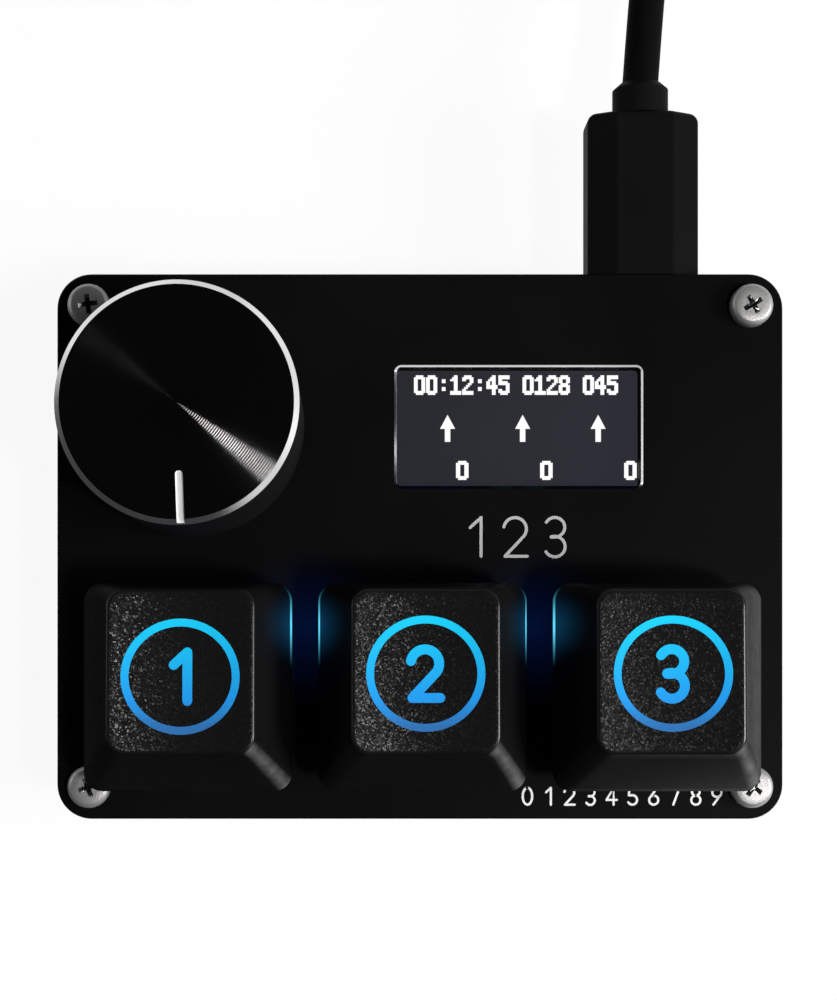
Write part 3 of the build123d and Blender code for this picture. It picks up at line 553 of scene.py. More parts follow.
def strokeFaces(mesh, path, width, heightAt, closed=False, endSteps=6, sharpest=0.5):
    # flat ribbon of even width along a line, laid on the surface that heightAt gives
    # its ends are round, and sharpest limits how far a corner runs out
    points = [Vector(p) for p in path]
    count = len(points)
    ways = [(after - point).normalized() for point, after in zip(points, points[1:] + points[:1])]
    if not closed:
        ways[-1] = ways[-2]
    left, right = [], []
    for i, point in enumerate(points):
        into = ways[i - 1] if closed or i else ways[0]
        normals = [Vector((-way.y, way.x)) for way in (into, ways[i])]
        mitre = (normals[0] + normals[1]).normalized()
        reach = width / 2 / max(mitre.dot(normals[0]), sharpest)
        left.append(point + mitre * reach)
        right.append(point - mitre * reach)

    def place(p):
        return mesh.verts.new(scaled((p.x, p.y, heightAt(p.x, p.y))))

    leftVerts = [place(p) for p in left]
    rightVerts = [place(p) for p in right]
    for i in range(count if closed else count - 1):
        j = (i + 1) % count
        mesh.faces.new((rightVerts[i], rightVerts[j], leftVerts[j], leftVerts[i]))
    if closed:
        return
    ends = ((points[0], leftVerts[0], rightVerts[0]), (points[-1], rightVerts[-1], leftVerts[-1]))
    for centre, first, last in ends:
        start = Vector((first.co.x, first.co.y)) / mm - centre
        turns = [Matrix.Rotation(math.pi * k / endSteps, 2) for k in range(1, endSteps)]
        mesh.faces.new([first, *[place(centre + turn @ start) for turn in turns], last])


# plain numerals, each a list of strokes in a box one unit high
digitStrokes = {
    "0": [arcPoints(0.31, 0.5, 0.26, 90, 460, 26, 0.46)],
    "1": [[(0.10, 0.72), (0.36, 0.96)], [(0.36, 0.96), (0.36, 0.04)]],
    "2": [[*arcPoints(0.31, 0.69, 0.27, 170, -38, 14), (0.07, 0.04)], [(0.07, 0.04), (0.60, 0.04)]],
    "3": [
        [*arcPoints(0.29, 0.73, 0.235, 150, -90, 14), (0.2, 0.495)],
        [(0.2, 0.505), *arcPoints(0.29, 0.27, 0.245, 90, -150, 14)],
    ],
    "4": [[(0.45, 0.04), (0.45, 0.96), (0.06, 0.3)], [(0.06, 0.3), (0.62, 0.3)]],
    "5": [
        [(0.54, 0.96), (0.14, 0.96)],
        [(0.14, 0.96), (0.1, 0.56), *arcPoints(0.29, 0.30, 0.26, 112, -150, 14)],
    ],
    "6": [
        arcPoints(0.31, 0.29, 0.25, 90, -270, 24),
        [(0.5, 0.96), *arcPoints(0.31, 0.29, 0.25, 148, 180, 3)],
    ],
    "7": [[(0.06, 0.96), (0.58, 0.96)], [(0.58, 0.96), (0.24, 0.04)]],
    "8": [arcPoints(0.31, 0.74, 0.21, 90, 450, 22), arcPoints(0.31, 0.29, 0.25, 90, 450, 24)],
    "9": [arcPoints(0.31, 0.71, 0.25, 90, 450, 24), [(0.12, 0.04), *arcPoints(0.31, 0.71, 0.25, -32, 0, 3)]],
}
strokeLift = 0.004  # each stroke of a numeral lies this far over the last one


def addNumeral(mesh, letter, cx, cy, height, stroke, heightAt):
    strokes = digitStrokes[letter]
    xs = [x for line in strokes for x, _ in line]
    middle = (min(xs) + max(xs)) / 2
    for index, line in enumerate(strokes):
        path = [(cx + (x - middle) * height, cy + (y - 0.5) * height) for x, y in line]
        strokeFaces(mesh, path, stroke, lambda px, py, lift=strokeLift * index: heightAt(px, py) + lift)


print("helpers ready")

# keycaps: tapered shells with a dished top, and a ring with a number on each
keycap = {
    "baseSize": (18.1, 18.1),
    "topSize": (12.6, 14.0),
    "topShift": 1.45,  # the top sits this far to the rear of the base
    "baseCorner": 1.6,
    "topCorner": 1.55,
    "cornerEase": 0.6,  # how fast the top's corners tighten as its edge rounds over
    "height": 7.85,
    "edgeRadius": 0.5,
    "footRadius": 0.12,
    "wallBulge": 0.12,  # the walls swell this much between base and top
    "dishRadius": 34.0,
    "dishDepth": 0.85,
    "dishTilt": 1.5,
    "rings": (2, 10, 6, 14),  # over the foot, the walls, the edge and the top
    "wall": 1.3,
    "roof": 1.6,
    "innerCorner": 0.5,
    "postRadius": 2.75,
    "postFoot": 0.8,  # the post ends this far over the foot
    "postSteps": 5,
    "socketDepth": 3.6,
    "crossSpan": 4.16,
    "crossBar": 1.31,
}

legend = {
    "ringRadius": 4.62,
    "ringStroke": 0.66,
    "ringSquash": 0.975,
    "numberHeight": 4.4,
    "numberStroke": 0.82,
    "lift": 0.02,
    "shift": {1: (0.0, -0.45), 2: (0.0, -0.2), 3: (0.16, -0.2)},
    "top": (0.009, 0.51, 0.78, 1),
    "middle": (0.014, 0.26, 0.68, 1),
    "foot": (0.025, 0.128, 0.355, 1),
    "bend": 0.25,  # share of the ring's height at which it has its middle colour
    "speckleSize": 0.3,
    "speckle": 0.03,
    # faint painted glow of the print
    "glow": 0.08,
}

# the look of the caps' plastic, where facing is a range of one part of the surface's normal
skin = {
    "topFacing": (0.72, 0.92),
    "flatFacing": (0.955, 0.975),
    "ridgeFacing": (0.22, 0.6),
    "sideGloss": 0.03,
    "topGloss": 0.17,
    "edgeGloss": 0.4,
    "glossFade": (-5, 0.5),  # from the left to the right part of each top
    "glossRight": 0.3,  # share of the gloss on that right part
    "keyFade": (-10, 20),  # from the left-hand to the right-hand key
    "glossLast": 0.4,  # share of it on the right-hand key, which faces the desk lamp
    "sideRough": 0.42,
    "topRough": 0.27,
    "rubSize": 1.1,
    "rubRough": (-0.03, 0.05),
    # how much the painted ridge highlight is mottled
    "rubShine": (0.6, 1.4),
    "ridgeShine": 0.06,  # how light the painted highlight on the front right ridge is
    "topPale": 0.0025,  # how much paler the tops are than the walls
    "grainSize": 0.12,
    "grainTilt": 0.30,  # how far single grains lean, which makes them glint
    "grainDepth": 0.004,
    "leakEdge": 10.2,  # middle of the gap between two keys, from the middle key's axis
    "leakY": -7.2,
    "leakReach": 4.1,
    "leakFall": 2.5,
    # painted glow of the lamps' light on the caps' walls and foot edges
    "leakHalo": 0.085,
    "leakGlow": 3.0,
    "leakColour": (0.02, 0.34, 0.85, 1),
    "lineHeight": 0.6,  # of the painted bright line at the foot
    "lineFade": 0.02,
    "lineColour": (0.10, 0.62, 0.85, 1),
}


def mixPair(a, b, t):
    return tuple(p + (q - p) * t for p, q in zip(a, b))


def shrink(size, inset):
    return tuple(c - 2 * inset for c in size)


def dishHeight(x, y):
    # height over the cap's own base at a point given from the middle of the top
    radius = keycap["dishRadius"]
    drop = keycap["dishDepth"] + y * math.tan(math.radians(keycap["dishTilt"]))
    return keycap["height"] - drop + radius - math.sqrt(radius * radius - x * x)


def capRing(size, corner, shift, heightAt):
    return [(x, y + shift, heightAt(x, y)) for x, y in roundedRing(*size, corner, steps=10, sideSteps=12)]


def capOuter(mesh):
    edge, foot, ease = keycap["edgeRadius"], keycap["footRadius"], keycap["cornerEase"]
    base, top, shift = keycap["baseSize"], keycap["topSize"], keycap["topShift"]
    baseCorner, topCorner = keycap["baseCorner"], keycap["topCorner"]
    footRings, wallRings, edgeRings, topRings = keycap["rings"]
    rings = []
    for k in range(footRings + 1):
        a = math.radians(90 * k / footRings)
        size = shrink(base, foot * (1 - math.sin(a)))
        rings.append(capRing(size, baseCorner, 0, flatAt(foot * (1 - math.cos(a)))))
    for k in range(1, wallRings + 1):
        t = k / wallRings
        size = shrink(mixPair(base, top, t), -4 * t * (1 - t) * keycap["wallBulge"])

        def wallHeight(x, y, t=t):
            return foot + (dishHeight(x, y) - edge - foot) * t

        rings.append(capRing(size, baseCorner + (topCorner - baseCorner) * t, shift * t, wallHeight))
    for k in range(1, edgeRings + 1):
        a = math.radians(90 * k / edgeRings)
        inset = edge * (1 - math.cos(a))

        def edgeHeight(x, y, a=a):
            return dishHeight(x, y) - edge * (1 - math.sin(a))

        rings.append(capRing(shrink(top, inset), topCorner - inset * ease, shift, edgeHeight))
    for k in range(1, topRings):
        t = 1 - k / topRings
        size = tuple(c * t for c in shrink(top, edge))
        rings.append(capRing(size, (topCorner - edge * ease) * t, shift, dishHeight))
    return addRings(mesh, rings, closeEnd=True)[0]


def capInner(mesh, footRow):
    # the hollow side, joined to the outer skin round the open foot
    ceiling = keycap["height"] - keycap["roof"] - keycap["dishDepth"]
    rings = []
    for height in (0, ceiling):
        t = height / keycap["height"]
        size = shrink(mixPair(keycap["baseSize"], keycap["topSize"], t), keycap["wall"])
        rings.append(capRing(size, keycap["innerCorner"], keycap["topShift"] * t, flatAt(height)))
    innerFoot = addRings(mesh, rings, closeEnd=True)[0]
    joinRows(mesh, innerFoot, footRow)
    return ceiling


def capPost(mesh, ceiling):
    # round post with a cross-shaped socket that fits the switch's stem
    radius, low, steps = keycap["postRadius"], keycap["postFoot"], keycap["postSteps"]
    cross = crossOutline(keycap["crossSpan"] / 2, keycap["crossBar"] / 2)
    angles = [math.atan2(y, x) for x, y in cross]
    outer = []
    for start, end in zip(angles, angles[1:] + angles[:1]):
        turn = (end - start) % tau
        outer += [onCircle(0, 0, radius, start + turn * k / steps) for k in range(steps)]
    around, _ = addRings(mesh, [level(outer, low), level(outer, ceiling)])
    deep = low + keycap["socketDepth"]
    mouth, _ = addRings(mesh, [level(cross, low), level(cross, deep)], closeEnd=True)
    for i in range(len(cross)):
        run = [around[(i * steps + k) % len(around)] for k in range(steps + 1)]
        mesh.faces.new([mouth[(i + 1) % len(cross)], mouth[i], *run])


def legendMaterial():
    # printed ring and number, cyan at the top to blue at the foot, with a faint painted glow in their
    # emission
    graph = Graph(bpy.data.materials.new("legendBlue"))
    coords = graph.place()
    middle = capBoxes[1][0].y + (keycap["baseSize"][1] / 2 + keycap["topShift"]) * mm
    reach = legend["ringRadius"] * mm
    share = graph.span(graph.axes(coords)[1], middle - reach, middle + reach, 0, 1)
    speckle = graph.noise(coords, legend["speckleSize"])
    ramp = graph.add("ValToRGB")
    stops = ramp.color_ramp.elements
    stops[0].color, stops[1].color = legend["foot"], legend["top"]
    stops.new(legend["bend"]).color = legend["middle"]
    spread = graph.vary(speckle, -legend["speckle"], legend["speckle"])
    graph.feed(ramp.inputs["Fac"], graph.calc("ADD", share, spread))
    graph.set({
        "Base Color": ramp.outputs["Color"],
        "Emission Color": ramp.outputs["Color"],
        "Emission Strength": legend["glow"],
        "Roughness": 0.5,
        "Specular IOR Level": 0.03,
    })
    return graph.owner


def haloOf(graph, x, y, fromMiddle, atY, reach, fall):
    # 1 at two places as far left and right of the middle, falling to 0 at the reach
    side = graph.calc("SUBTRACT", graph.calc("ABSOLUTE", x), fromMiddle * mm)
    far = graph.hypot(side, graph.calc("SUBTRACT", y, atY * mm))
    return graph.calc("POWER", graph.span(far, reach * mm, 0, 0, 1), fall)


def capMaterial():
    # sandy moulded plastic: coarse and glinting on the top, smoother and duller on the walls
    graph = makeFinish("capBlack")
    coords = graph.place()
    x, y, z = graph.axes(coords)
    normal = graph.add("NewGeometry").outputs["Normal"]
    sideways, lengthways, upward = graph.axes(normal)
    top = graph.span(upward, *skin["topFacing"], 0, 1)
    flatLow, flatHigh = skin["flatFacing"]
    flat = graph.span(upward, flatLow, flatHigh, 0, 1)
    edge = graph.span(upward, flatHigh, flatLow, 0, skin["edgeGloss"])

    # the tops glint most on their left part, and less from key to key towards the right
    half = skin["leakEdge"] * mm
    ownX = graph.calc("WRAP", x, half, -half)
    share = graph.span(ownX, *scaled(skin["glossFade"]), 1, skin["glossRight"])
    byKey = graph.span(x, *scaled(skin["keyFade"]), 1, skin["glossLast"])
    glint = graph.times(share, byKey, skin["topGloss"])
    gloss = graph.times(graph.calc("MAXIMUM", glint, edge), top)
    # one noise for the rubbed roughness and for mottling the painted ridge highlight
    rubAndSheen = graph.noise(coords, skin["rubSize"], detail=4.0)
    rough = graph.span(upward, *skin["topFacing"], skin["sideRough"], skin["topRough"])

    # painted highlight: the ridge between the front and the right wall is lighter in base colour, mottled
    ridgeLow, ridgeHigh = skin["ridgeFacing"]
    right = graph.span(sideways, ridgeLow, ridgeHigh, 0, 1)
    front = graph.span(lengthways, -ridgeLow, -ridgeHigh, 0, 1)
    paintedRidgeHighlight = graph.times(right, front, graph.vary(rubAndSheen, *skin["rubShine"]), skin["ridgeShine"])
    pale = graph.calc("ADD", paintedRidgeHighlight, graph.times(flat, skin["topPale"]))

    # each grain of the top is tilted its own way
    cells = graph.add("TexVoronoi")
    graph.feed(cells.inputs["Scale"], 1 / (skin["grainSize"] * mm))
    graph.feed(cells.inputs["Vector"], coords)
    tilt = graph.vector("SUBTRACT", cells.outputs["Color"], (0.5, 0.5, 0.5))
    tilt = graph.vector("MULTIPLY", tilt, graph.times(flat, skin["grainTilt"]))
    tilted = graph.vector("NORMALIZE", graph.vector("ADD", normal, tilt))
    graph.feed(graph.bump.inputs["Normal"], tilted)
    graph.feed(graph.bump.inputs["Distance"], skin["grainDepth"] * mm)

    # painted light: the caps' own emission glows round their lower edges, strongest beside each lamp
    leak = [skin[name] for name in ("leakEdge", "leakY", "leakReach", "leakFall")]
    line = capBoxes[1][0].z + skin["lineHeight"] * mm
    rim = graph.span(z, line, line - skin["lineFade"] * mm, skin["leakHalo"], 1)
    graph.set({
        "Base Color": graph.mix(pale, graph.tint, (1, 1, 1, 1)),
        "Specular IOR Level": graph.calc("MAXIMUM", gloss, skin["sideGloss"]),
        "Roughness": graph.calc("ADD", rough, graph.vary(rubAndSheen, *skin["rubRough"])),
        "Emission Color": graph.mix(rim, skin["leakColour"], skin["lineColour"]),
        "Emission Strength": graph.times(haloOf(graph, x, y, *leak), rim, skin["leakGlow"]),
    })
    return graph.owner


def buildKeycap(number, shell, printed):
    low, high = capBoxes[number]
    cx = (low.x + high.x) / 2 / mm
    cy = low.y / mm + keycap["baseSize"][1] / 2
    place = Matrix.Translation((cx * mm, cy * mm, low.z))
    mesh = bmesh.new()
    footRow = capOuter(mesh)
    ceiling = capInner(mesh, footRow)
    capPost(mesh, ceiling)
    cap = meshObject(f"keycapShell{number}", mesh, smoothAngle=50, move=place)
    dress(cap, shell, f"key_{number}", "keycap_black", f"keycap_{number}")

    marks = bmesh.new()
    shift = keycap["topShift"]

    def onDish(x, y):
        return dishHeight(x, y - shift) + legend["lift"]

    dx, dy = legend["shift"][number]
    radius = legend["ringRadius"]
    ring = arcPoints(dx, shift + dy, radius, 0, 360, 96, radiusY=radius * legend["ringSquash"])[:-1]
    strokeFaces(marks, ring, legend["ringStroke"], onDish, closed=True)
    addNumeral(marks, str(number), dx, shift + dy, legend["numberHeight"], legend["numberStroke"], onDish)
    dress(meshObject(f"keyLegend{number}", marks, move=place), printed, f"key_{number}", "keycap_black")


# the springs under the keys, which shorten as a key goes down; each is built here at one length, that of its
# part in the frame
coil = {
    "radius": 1.95,
    "wire": 0.32,
    "turns": 6,
    "flatTurns": 0.75,  # laid flat at each end
    "stepsPerTurn": 28,
    "keyTravel": 4.0,
}


def buildSpring(number):
    low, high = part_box(f"return_spring_{number}")
    cx, cy = (low.x + high.x) / 2 / mm, (low.y + high.y) / 2 / mm
    half = coil["wire"] / 2
    bottom, top = low.z / mm + half, high.z / mm - half
    turns, flat, perTurn = coil["turns"], coil["flatTurns"], coil["stepsPerTurn"]
    rings = []
    for i in range(turns * perTurn + 1):
        rise = min(max((i / perTurn - flat) / (turns - 2 * flat), 0), 1)
        z = bottom + (top - bottom) * rise
        section = arcPoints(coil["radius"], z, half, 0, 360, 8)[:-1]
        rings.append([(*onCircle(cx, cy, r, tau * i / perTurn), h) for r, h in section])
    mesh = bmesh.new()
    addRings(mesh, rings, closeStart=True, closeEnd=True)
    spring = meshObject(f"keySpring{number}", mesh)
    dress(spring, made["springSteel"], "root", "spring_steel", f"return_spring_{number}")
    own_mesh(spring)


capPlastic = capMaterial()
legendBlue = legendMaterial()
for keyNumber in keyNumbers:
    buildKeycap(keyNumber, capPlastic, legendBlue)
    buildSpring(keyNumber)
print("keycaps, legends and springs built")

# dial: turned on a lathe, with a bright cut edge and a milled mark
knob = {
    "radius": 10.0,
    "bevel": 0.43,
    "footBevel": 0.15,
    "skirtWall": 1.2,
    "skirtDepth": 1.9,
    "neckRadius": 4.3,
    "neckDepth": 5.9,
    "boreRadius": 3.02,
    "boreDepth": 14.3,
    "markLength": 4.4,
    "markWidth": 0.62,
    "markDepth": 0.3,
    "markPast": 1,  # its cutter ends this far outside the rim
    "markRise": 0.5,  # and this far over the top
    "markAngle": -88.0,
    "holeRadius": 1.5,
    "holeReach": 11.0,
    "holeDrop": 4.6,  # from the top to the hole's axis
    "holeAngle": 100.0,
    "groovePitch": 0.21,  # of the fine rings that the tool leaves on the top
    "grooveDepth": 0.0096,
    "grooveLean": 0.02,
    "grooveGrowth": 0.155,  # how much deeper they are at the rim than in the middle
}


def cutWith(obj, cutter, smoothAngle):
    # takes the cutter's shape out of a piece, and the new faces keep the cutter's material
    modifier = obj.modifiers.new("cut", "BOOLEAN")
    modifier.operation = "DIFFERENCE"
    modifier.object = cutter
    modifier.solver = "EXACT"
    modifier.material_mode = "TRANSFER"
    bpy.context.view_layer.update()
    cutMesh = bpy.data.meshes.new_from_object(obj.evaluated_get(bpy.context.evaluated_depsgraph_get()))
    obj.modifiers.clear()
    obj.data = cutMesh
    bpy.data.objects.remove(cutter)
    obj.data.set_sharp_from_angle(angle=math.radians(smoothAngle))


def spunMaterial():
    # fine tool rings, each a real slope, so that a lamp shows as a fan across them
    graph = makeFinish("dialSpun")
    x, y, _ = graph.axes(graph.place())
    away = graph.hypot(graph.calc("SUBTRACT", x, dialAxis.x), graph.calc("SUBTRACT", y, dialAxis.y))
    turn = graph.calc("DIVIDE", away, -knob["groovePitch"] * mm / tau)
    # a second wave leans the rings, which dims the fan's far half
    lean = graph.calc("SINE", graph.times(turn, 2))
    height = graph.calc("ADD", graph.calc("SINE", turn), graph.times(lean, knob["grooveLean"]))
    deeper = graph.span(away, 0, knob["radius"] * mm, 1, 1 + knob["grooveGrowth"])
    graph.feed(graph.bump.inputs["Distance"], knob["grooveDepth"] * mm)
    graph.feed(graph.bump.inputs["Height"], graph.times(height, deeper))
    return graph.owner


def buildDial():
    radius, bevel, smooth = knob["radius"], knob["bevel"], 20
    tall = (dialHigh.z - dialLow.z) / mm
    wall = radius - knob["skirtWall"]
    neck, bore, foot = knob["neckRadius"], knob["boreRadius"], knob["footBevel"]
    profile = [
        (0, knob["boreDepth"]),
        (bore, knob["boreDepth"]),
        (bore, knob["neckDepth"]),
        (neck, knob["neckDepth"]),
        (neck, knob["skirtDepth"]),
        (wall, knob["skirtDepth"]),
        (wall, 0),
        (radius - foot, 0),
        (radius, foot),
        (radius, tall - bevel),
        (radius - bevel, tall),
        (0, tall),
    ]
    mesh = bmesh.new()
    lathe(mesh, profile, steps=256)
    place = Matrix.Translation((dialAxis.x, dialAxis.y, dialLow.z))
    dial = meshObject("turnedDial", mesh, smoothAngle=smooth, move=place)
    dress(dial, made["dialSide"], "dial_body", "dial_black", "dial")
    dial.data.materials.append(made["cutAluminium"])
    dial.data.materials.append(spunMaterial())
    side, cutEdge, top = range(3)
    bevelFoot = dialHigh.z - bevel * mm
    for face in dial.data.polygons:
        if face.center.z > bevelFoot:
            face.material_index = top if abs(face.normal.z) > 0.95 else cutEdge
        else:
            face.material_index = side

    # the mark: a slot that runs out over the rim and has a round inner end
    half = knob["markWidth"] / 2
    inner, outer = radius - knob["markLength"], radius + knob["markPast"]
    outline = [(outer, half), *arcPoints(inner + half, 0, half, 90, 270, 10), (outer, -half)]
    slot = bmesh.new()
    heights = (tall - knob["markDepth"], tall + knob["markRise"])
    addRings(slot, [level(outline, z) for z in heights], closeStart=True, closeEnd=True)
    turn = turnBy(knob["markAngle"], "Z")
    tool = meshObject("markCutter", slot, move=place @ turn)
    tool.data.materials.append(made["markSilver"])
    cutWith(dial, tool, smooth)

    # hole of the set screw that holds the dial on its shaft
    hole = bmesh.new()
    outline = arcPoints(0, 0, knob["holeRadius"], 0, 360, 32)[:-1]
    addRings(hole, [level(outline, z) for z in (0, knob["holeReach"])], closeStart=True, closeEnd=True)
    turn = turnBy(knob["holeAngle"], "Z") @ turnBy(90, "Y")
    lift = Matrix.Translation((dialAxis.x, dialAxis.y, dialHigh.z - knob["holeDrop"] * mm))
    tool = meshObject("setScrewHole", hole, move=lift @ turn)
    tool.data.materials.append(made["dialSide"])
    cutWith(dial, tool, smooth)


buildDial()
print("dial built")

# pan-head screws with a cross recess
screw = {
    "headRadius": 1.9,
    "headHeight": 1.35,
    "headBevel": 0.1,
    "rimHeight": 0.75,
    "crownShare": 0.45,  # of the head's radius, where its dome flattens
    "crownDrop": 0.02,
    "shankRadius": 1.0,
    "shankLength": 6.0,
    "recessSpan": 2.2,
    "recessWidth": 0.55,
    "recessDepth": 0.6,
    "recessRise": 0.2,  # the cutter ends this far over the head
    "recessFloor": 0.3,  # the recess narrows to this share at its floor
    "inset": 2.95,
    "turns": (20, 8, -35, 30),
}


def buildScrews():
    head, tall, rim = screw["headRadius"], screw["headHeight"], screw["rimHeight"]
    shank, length, bevel = screw["shankRadius"], screw["shankLength"], screw["headBevel"]
    edge = tall - rim
    profile = [
        (0, -length),
        (shank, -length),
        (shank, 0),
        (head - bevel, 0),
        (head, bevel),
        *arcPoints(head - edge, rim, edge, 0, 75, 6),
        (head * screw["crownShare"], tall - screw["crownDrop"]),
        (0, tall),
    ]
    mesh, cutter = bmesh.new(), bmesh.new()
    insetX = plateHigh.x / mm - screw["inset"]
    insetY = plateHigh.y / mm - screw["inset"]
    corners = [(sx * insetX, sy * insetY) for sx in (-1, 1) for sy in (-1, 1)]
    low, high = tall - screw["recessDepth"], tall + screw["recessRise"]
    for (cx, cy), turn in zip(corners, screw["turns"]):
        lathe(mesh, profile, steps=64, cx=cx, cy=cy)
        cross = crossOutline(screw["recessSpan"] / 2, screw["recessWidth"] / 2, turn)
        rings = []
        for share, z in ((screw["recessFloor"], low), (1, high)):
            rings.append([(cx + x * share, cy + y * share, z) for x, y in cross])
        addRings(cutter, rings, closeStart=True, closeEnd=True)
    lift = Matrix.Translation((0, 0, plateTop))
    screws = meshObject("panHeadScrews", mesh, smoothAngle=40, move=lift)
    dress(screws, made["screwSteel"], "root", "screw_steel", "top_plate_screws")
    tool = meshObject("recessCutter", cutter, move=lift)
    tool.data.materials.append(made["recessSteel"])
    cutWith(screws, tool, 40)


buildScrews()
print("screws built")

# display window: a bright bevelled lip round the opening, with painted shade on its front edge, and the glass
# under it, with a painted reflection
display = {
    "opening": (21.9, 10.6),
    "inset": (12.88, 8.51),  # from the plate's right and rear sides to the opening
    "cornerRadius": 0.35,
    "lipHeight": 0.14,
    "lipWidth": 0.2,
    "lipGap": 0.06,  # between the opening and the lip's inner face
    "lipEdge": 0.02,
    "lipDepth": 0.15,  # it goes this far into the opening
    "frontLip": 0.06,  # how much of its brightness the lip's front edge keeps under the painted shade
    "frontFade": 0.2,
    "glassReach": 0.4,  # how far the face with the painted reflection goes on under the plate
    "glassLift": 0.01,
    "glassRough": 0.08,
    "glassGlow": (0.0125, 0.0125, 0.0175),
    "glassRight": 2.3,  # times brighter at the right, as painted light from that side
    "pixelLift": 0.03,
    "pixelGlow": 1.0,
    "timer": "00:12:45 0128 045",
    "timerAt": (-0.49, 15.68),  # upper left corner of its first character
    "timerStep": 1.0985,
    "timerDot": (0.17, 0.178),
    "counter": "0",
    "counterLefts": (3.34, 11.0, 18.66),
    "counterTop": 7.88,
    "counterDot": (0.19, 0.173),
    "arrowMiddles": (2.57, 9.41, 16.29),
    "arrowTop": 12.08,
    "arrowSize": (1.37, 2.46),
    "arrowHead": 0.52,  # share of its height
    "arrowNeck": 5.5,  # its width over half the width of its shaft
}


def windowBox():
    width, depth = display["opening"]
    insetX, insetY = display["inset"]
    return plateHigh.x / mm - insetX - width / 2, plateHigh.y / mm - insetY - depth / 2, width, depth


def windowRing(grow, corner):
    cx, cy, width, depth = windowBox()
    return roundedRing(width + 2 * grow, depth + 2 * grow, corner, cx=cx, cy=cy)


def lipMaterial():
    # bright all round, with painted shade that darkens its colour at the front edge
    graph = makeFinish("cutAluminium")
    _, cy, _, depth = windowBox()
    front = (cy - depth / 2) * mm
    y = graph.axes(graph.place())[1]
    above = graph.span(y, front, front + display["frontFade"] * mm, display["frontLip"], 1)
    graph.set({"Base Color": graph.mix(above, (0, 0, 0, 1), graph.tint)})
    return graph.owner


def buildWindowRim():
    corner, gap, edge, top = display["cornerRadius"], display["lipGap"], display["lipEdge"], plateTop / mm
    crest = top + display["lipHeight"]
    section = [
        (gap, top - display["lipDepth"]),
        (gap, crest - edge),
        (gap + edge, crest),
        (gap + edge + display["lipWidth"], top),
    ]
    mesh = bmesh.new()
    addRings(mesh, [level(windowRing(grow, corner + grow), height) for grow, height in section])
    dress(meshObject("windowRim", mesh, smoothAngle=20), lipMaterial(), "root", "black_anodised")


def glowMaterial(name, colour, strength, rough=0.3, brighterRight=1.0):
    graph = Graph(bpy.data.materials.new(name))
    coords = graph.place()
    patches = graph.noise(coords, 4.0)
    # brighterRight paints the glow stronger towards the plate's right side
    across = graph.span(graph.axes(coords)[0], plateLow.x, plateHigh.x, -0.1, 1)
    share = graph.calc("ADD", across, graph.vary(patches, -0.05, 0.05))
    bright = tuple(c * brighterRight for c in colour)
    graph.set({
        "Base Color": (0.004, 0.004, 0.004, 1),
        "Roughness": graph.vary(patches, rough * 0.9, rough * 1.1),
        "Emission Color": graph.mix(share, (*colour, 1), (*bright, 1)),
        "Emission Strength": strength,
    })
    return graph.owner


def buildGlassFace():
    # painted reflection: the glass's face, a hair over its top, glows faintly and brighter to the right
    mesh = bmesh.new()
    reach = display["glassReach"]
    addFace(mesh, windowRing(reach, reach), glassTop / mm + display["glassLift"])
    face = meshObject("glassFace", mesh)
    rough, right = display["glassRough"], display["glassRight"]
    lit = glowMaterial("glassLit", display["glassGlow"], 1.0, rough=rough, brighterRight=right)
    dress(face, lit, "root", "display_glass")


# dot-matrix characters, one hexadecimal number per row from the top, six dots wide
dotRows = {
    "0": "1e 3f 33 33 33 33 33 33 3f 1e",
    "1": "0c 1c 3c 0c 0c 0c 0c 0c 3f 3f",
    "2": "1e 3f 33 03 06 0c 18 30 3f 3f",
    "4": "06 0e 1e 36 36 3f 3f 06 06 06",
    "5": "3f 3f 30 3e 3f 03 03 33 3f 1e",
    "8": "1e 3f 33 33 1e 3f 33 33 3f 1e",
    ":": "00 00 0c 0c 00 00 0c 0c 00 00",
    " ": "00 00 00 00 00 00 00 00 00 00",
}


def addDots(mesh, letter, left, top, dot, z):
    dotX, dotY = dot
    for row, code in enumerate(dotRows[letter].split()):
        for column, bit in enumerate(f"{int(code, 16):06b}"):
            if bit == "1":
                x, y = left + column * dotX, top - row * dotY
                addFace(mesh, ((x, y), (x + dotX, y), (x + dotX, y - dotY), (x, y - dotY)), z)


def addArrow(mesh, cx, z):
    # a plain arrow pointing to the rear
    width, height = display["arrowSize"]
    half, neck, top = width / 2, width / display["arrowNeck"], display["arrowTop"]
    shoulder, foot = top - height * display["arrowHead"], top - height
    right = [(0, top), (half, shoulder), (neck, shoulder), (neck, foot)]
    left = [(-x, y) for x, y in right[:0:-1]]
    addFace(mesh, [(cx + x, y) for x, y in right + left], z)


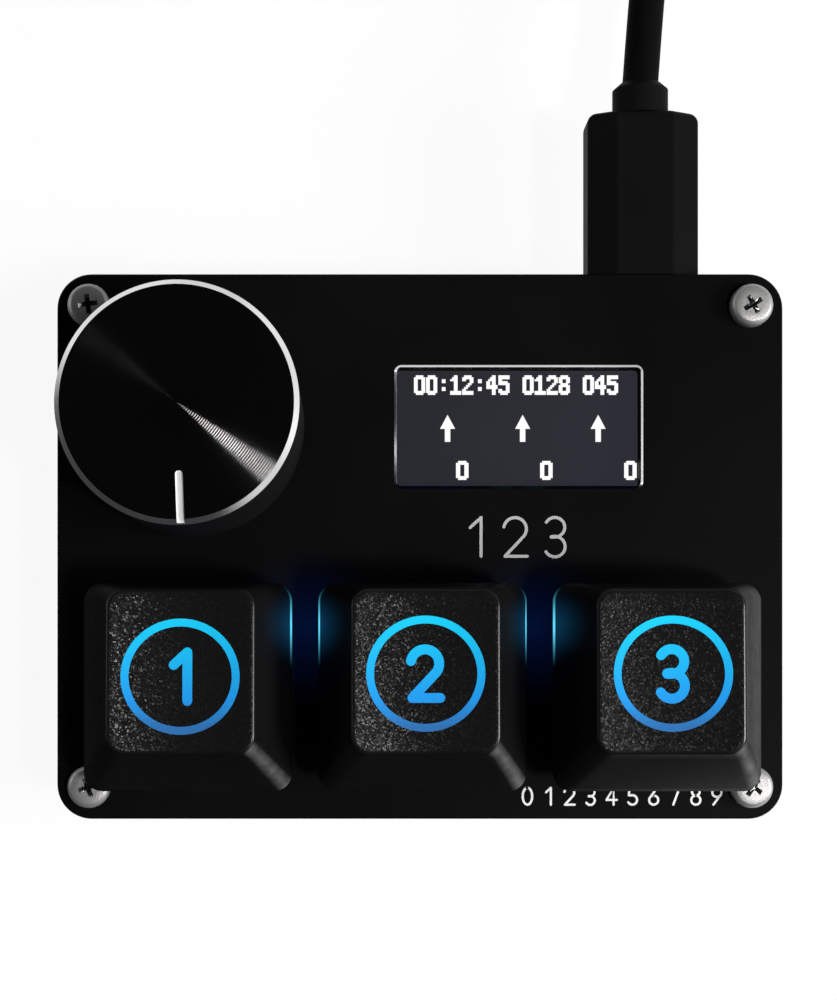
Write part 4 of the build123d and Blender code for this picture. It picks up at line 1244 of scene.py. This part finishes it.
def buildPixels():
    z = glassTop / mm + display["pixelLift"]
    mesh = bmesh.new()
    left, top = display["timerAt"]
    for index, letter in enumerate(display["timer"]):
        addDots(mesh, letter, left + index * display["timerStep"], top, display["timerDot"], z)
    for left in display["counterLefts"]:
        addDots(mesh, display["counter"], left, display["counterTop"], display["counterDot"], z)
    for cx in display["arrowMiddles"]:
        addArrow(mesh, cx, z)
    pixels = meshObject("litPixels", mesh)
    dress(pixels, glowMaterial("pixelWhite", (1.0, 1.0, 1.0), display["pixelGlow"]), "root", "display_glass")


buildWindowRim()
buildGlassFace()
buildPixels()
print("display built")

# marks on the plate: a painted row of numbers at the front, and three engraved ones
plateMarks = {
    # the digits, the middle of the first one, their step, height and stroke, and the finish
    "plateScale": ("0123456789", (9.7, -22.55), 1.9, 1.65, 0.2, "scalePaint"),
    "plateEngraving": ("123", (5.02, 0.86), 3.61, 3.8, 0.27, "cutMark"),
}
markLift = 0.012


def buildPlateMarks():
    onPlate = flatAt(plateTop / mm + markLift)
    for name, (digits, (x, y), step, height, stroke, finish) in plateMarks.items():
        mesh = bmesh.new()
        for index, digit in enumerate(digits):
            addNumeral(mesh, digit, x + step * index, y, height, stroke, onPlate)
        dress(meshObject(name, mesh), made[finish], "root", "black_anodised")


buildPlateMarks()
print("plate marked")

# blue light from the lamps under the keys, with painted blue glow on the plate and on the switch covers
glow = {
    "colour": (0.02, 0.16, 1.0),
    "gapAt": (10.2, -7.2),  # where it shows between two keys, from the middle key's axis
    "plateReach": 7.8,
    "plateFall": 2,
    "plateStrength": 0.030,
    "coverRise": (-14.0, -7.5),
    "coverStrength": 0.2,
    "lampStrength": 3.0,
}


def litFinish(name):
    graph = makeFinish(name)
    graph.set({"Emission Color": (*glow["colour"], 1)})
    return graph, graph.axes(graph.place())


def relight(nodeName, material):
    frame["nodes"][nodeName].material_slots[0].material = material


# painted light: a pool of blue glow in the plate's own emission between the keys
litPlate, (x, y, _) = litFinish("plateBlack")
halo = haloOf(litPlate, x, y, *glow["gapAt"], glow["plateReach"], glow["plateFall"])
litPlate.set({"Emission Strength": litPlate.times(halo, glow["plateStrength"])})
relight("top_plate", litPlate.owner)
# painted light: the clear switch covers glow in their own emission, rising towards the lamps
litCover, (_, y, _) = litFinish("switchClear")
litCover.set({"Emission Strength": litCover.span(y, *scaled(glow["coverRise"]), 0, glow["coverStrength"])})
for keyNumber in keyNumbers:
    relight(f"switch_cover_{keyNumber}", litCover.owner)
relight("key_leds", glowMaterial("lampLit", glow["colour"], glow["lampStrength"]))
print("glow set")
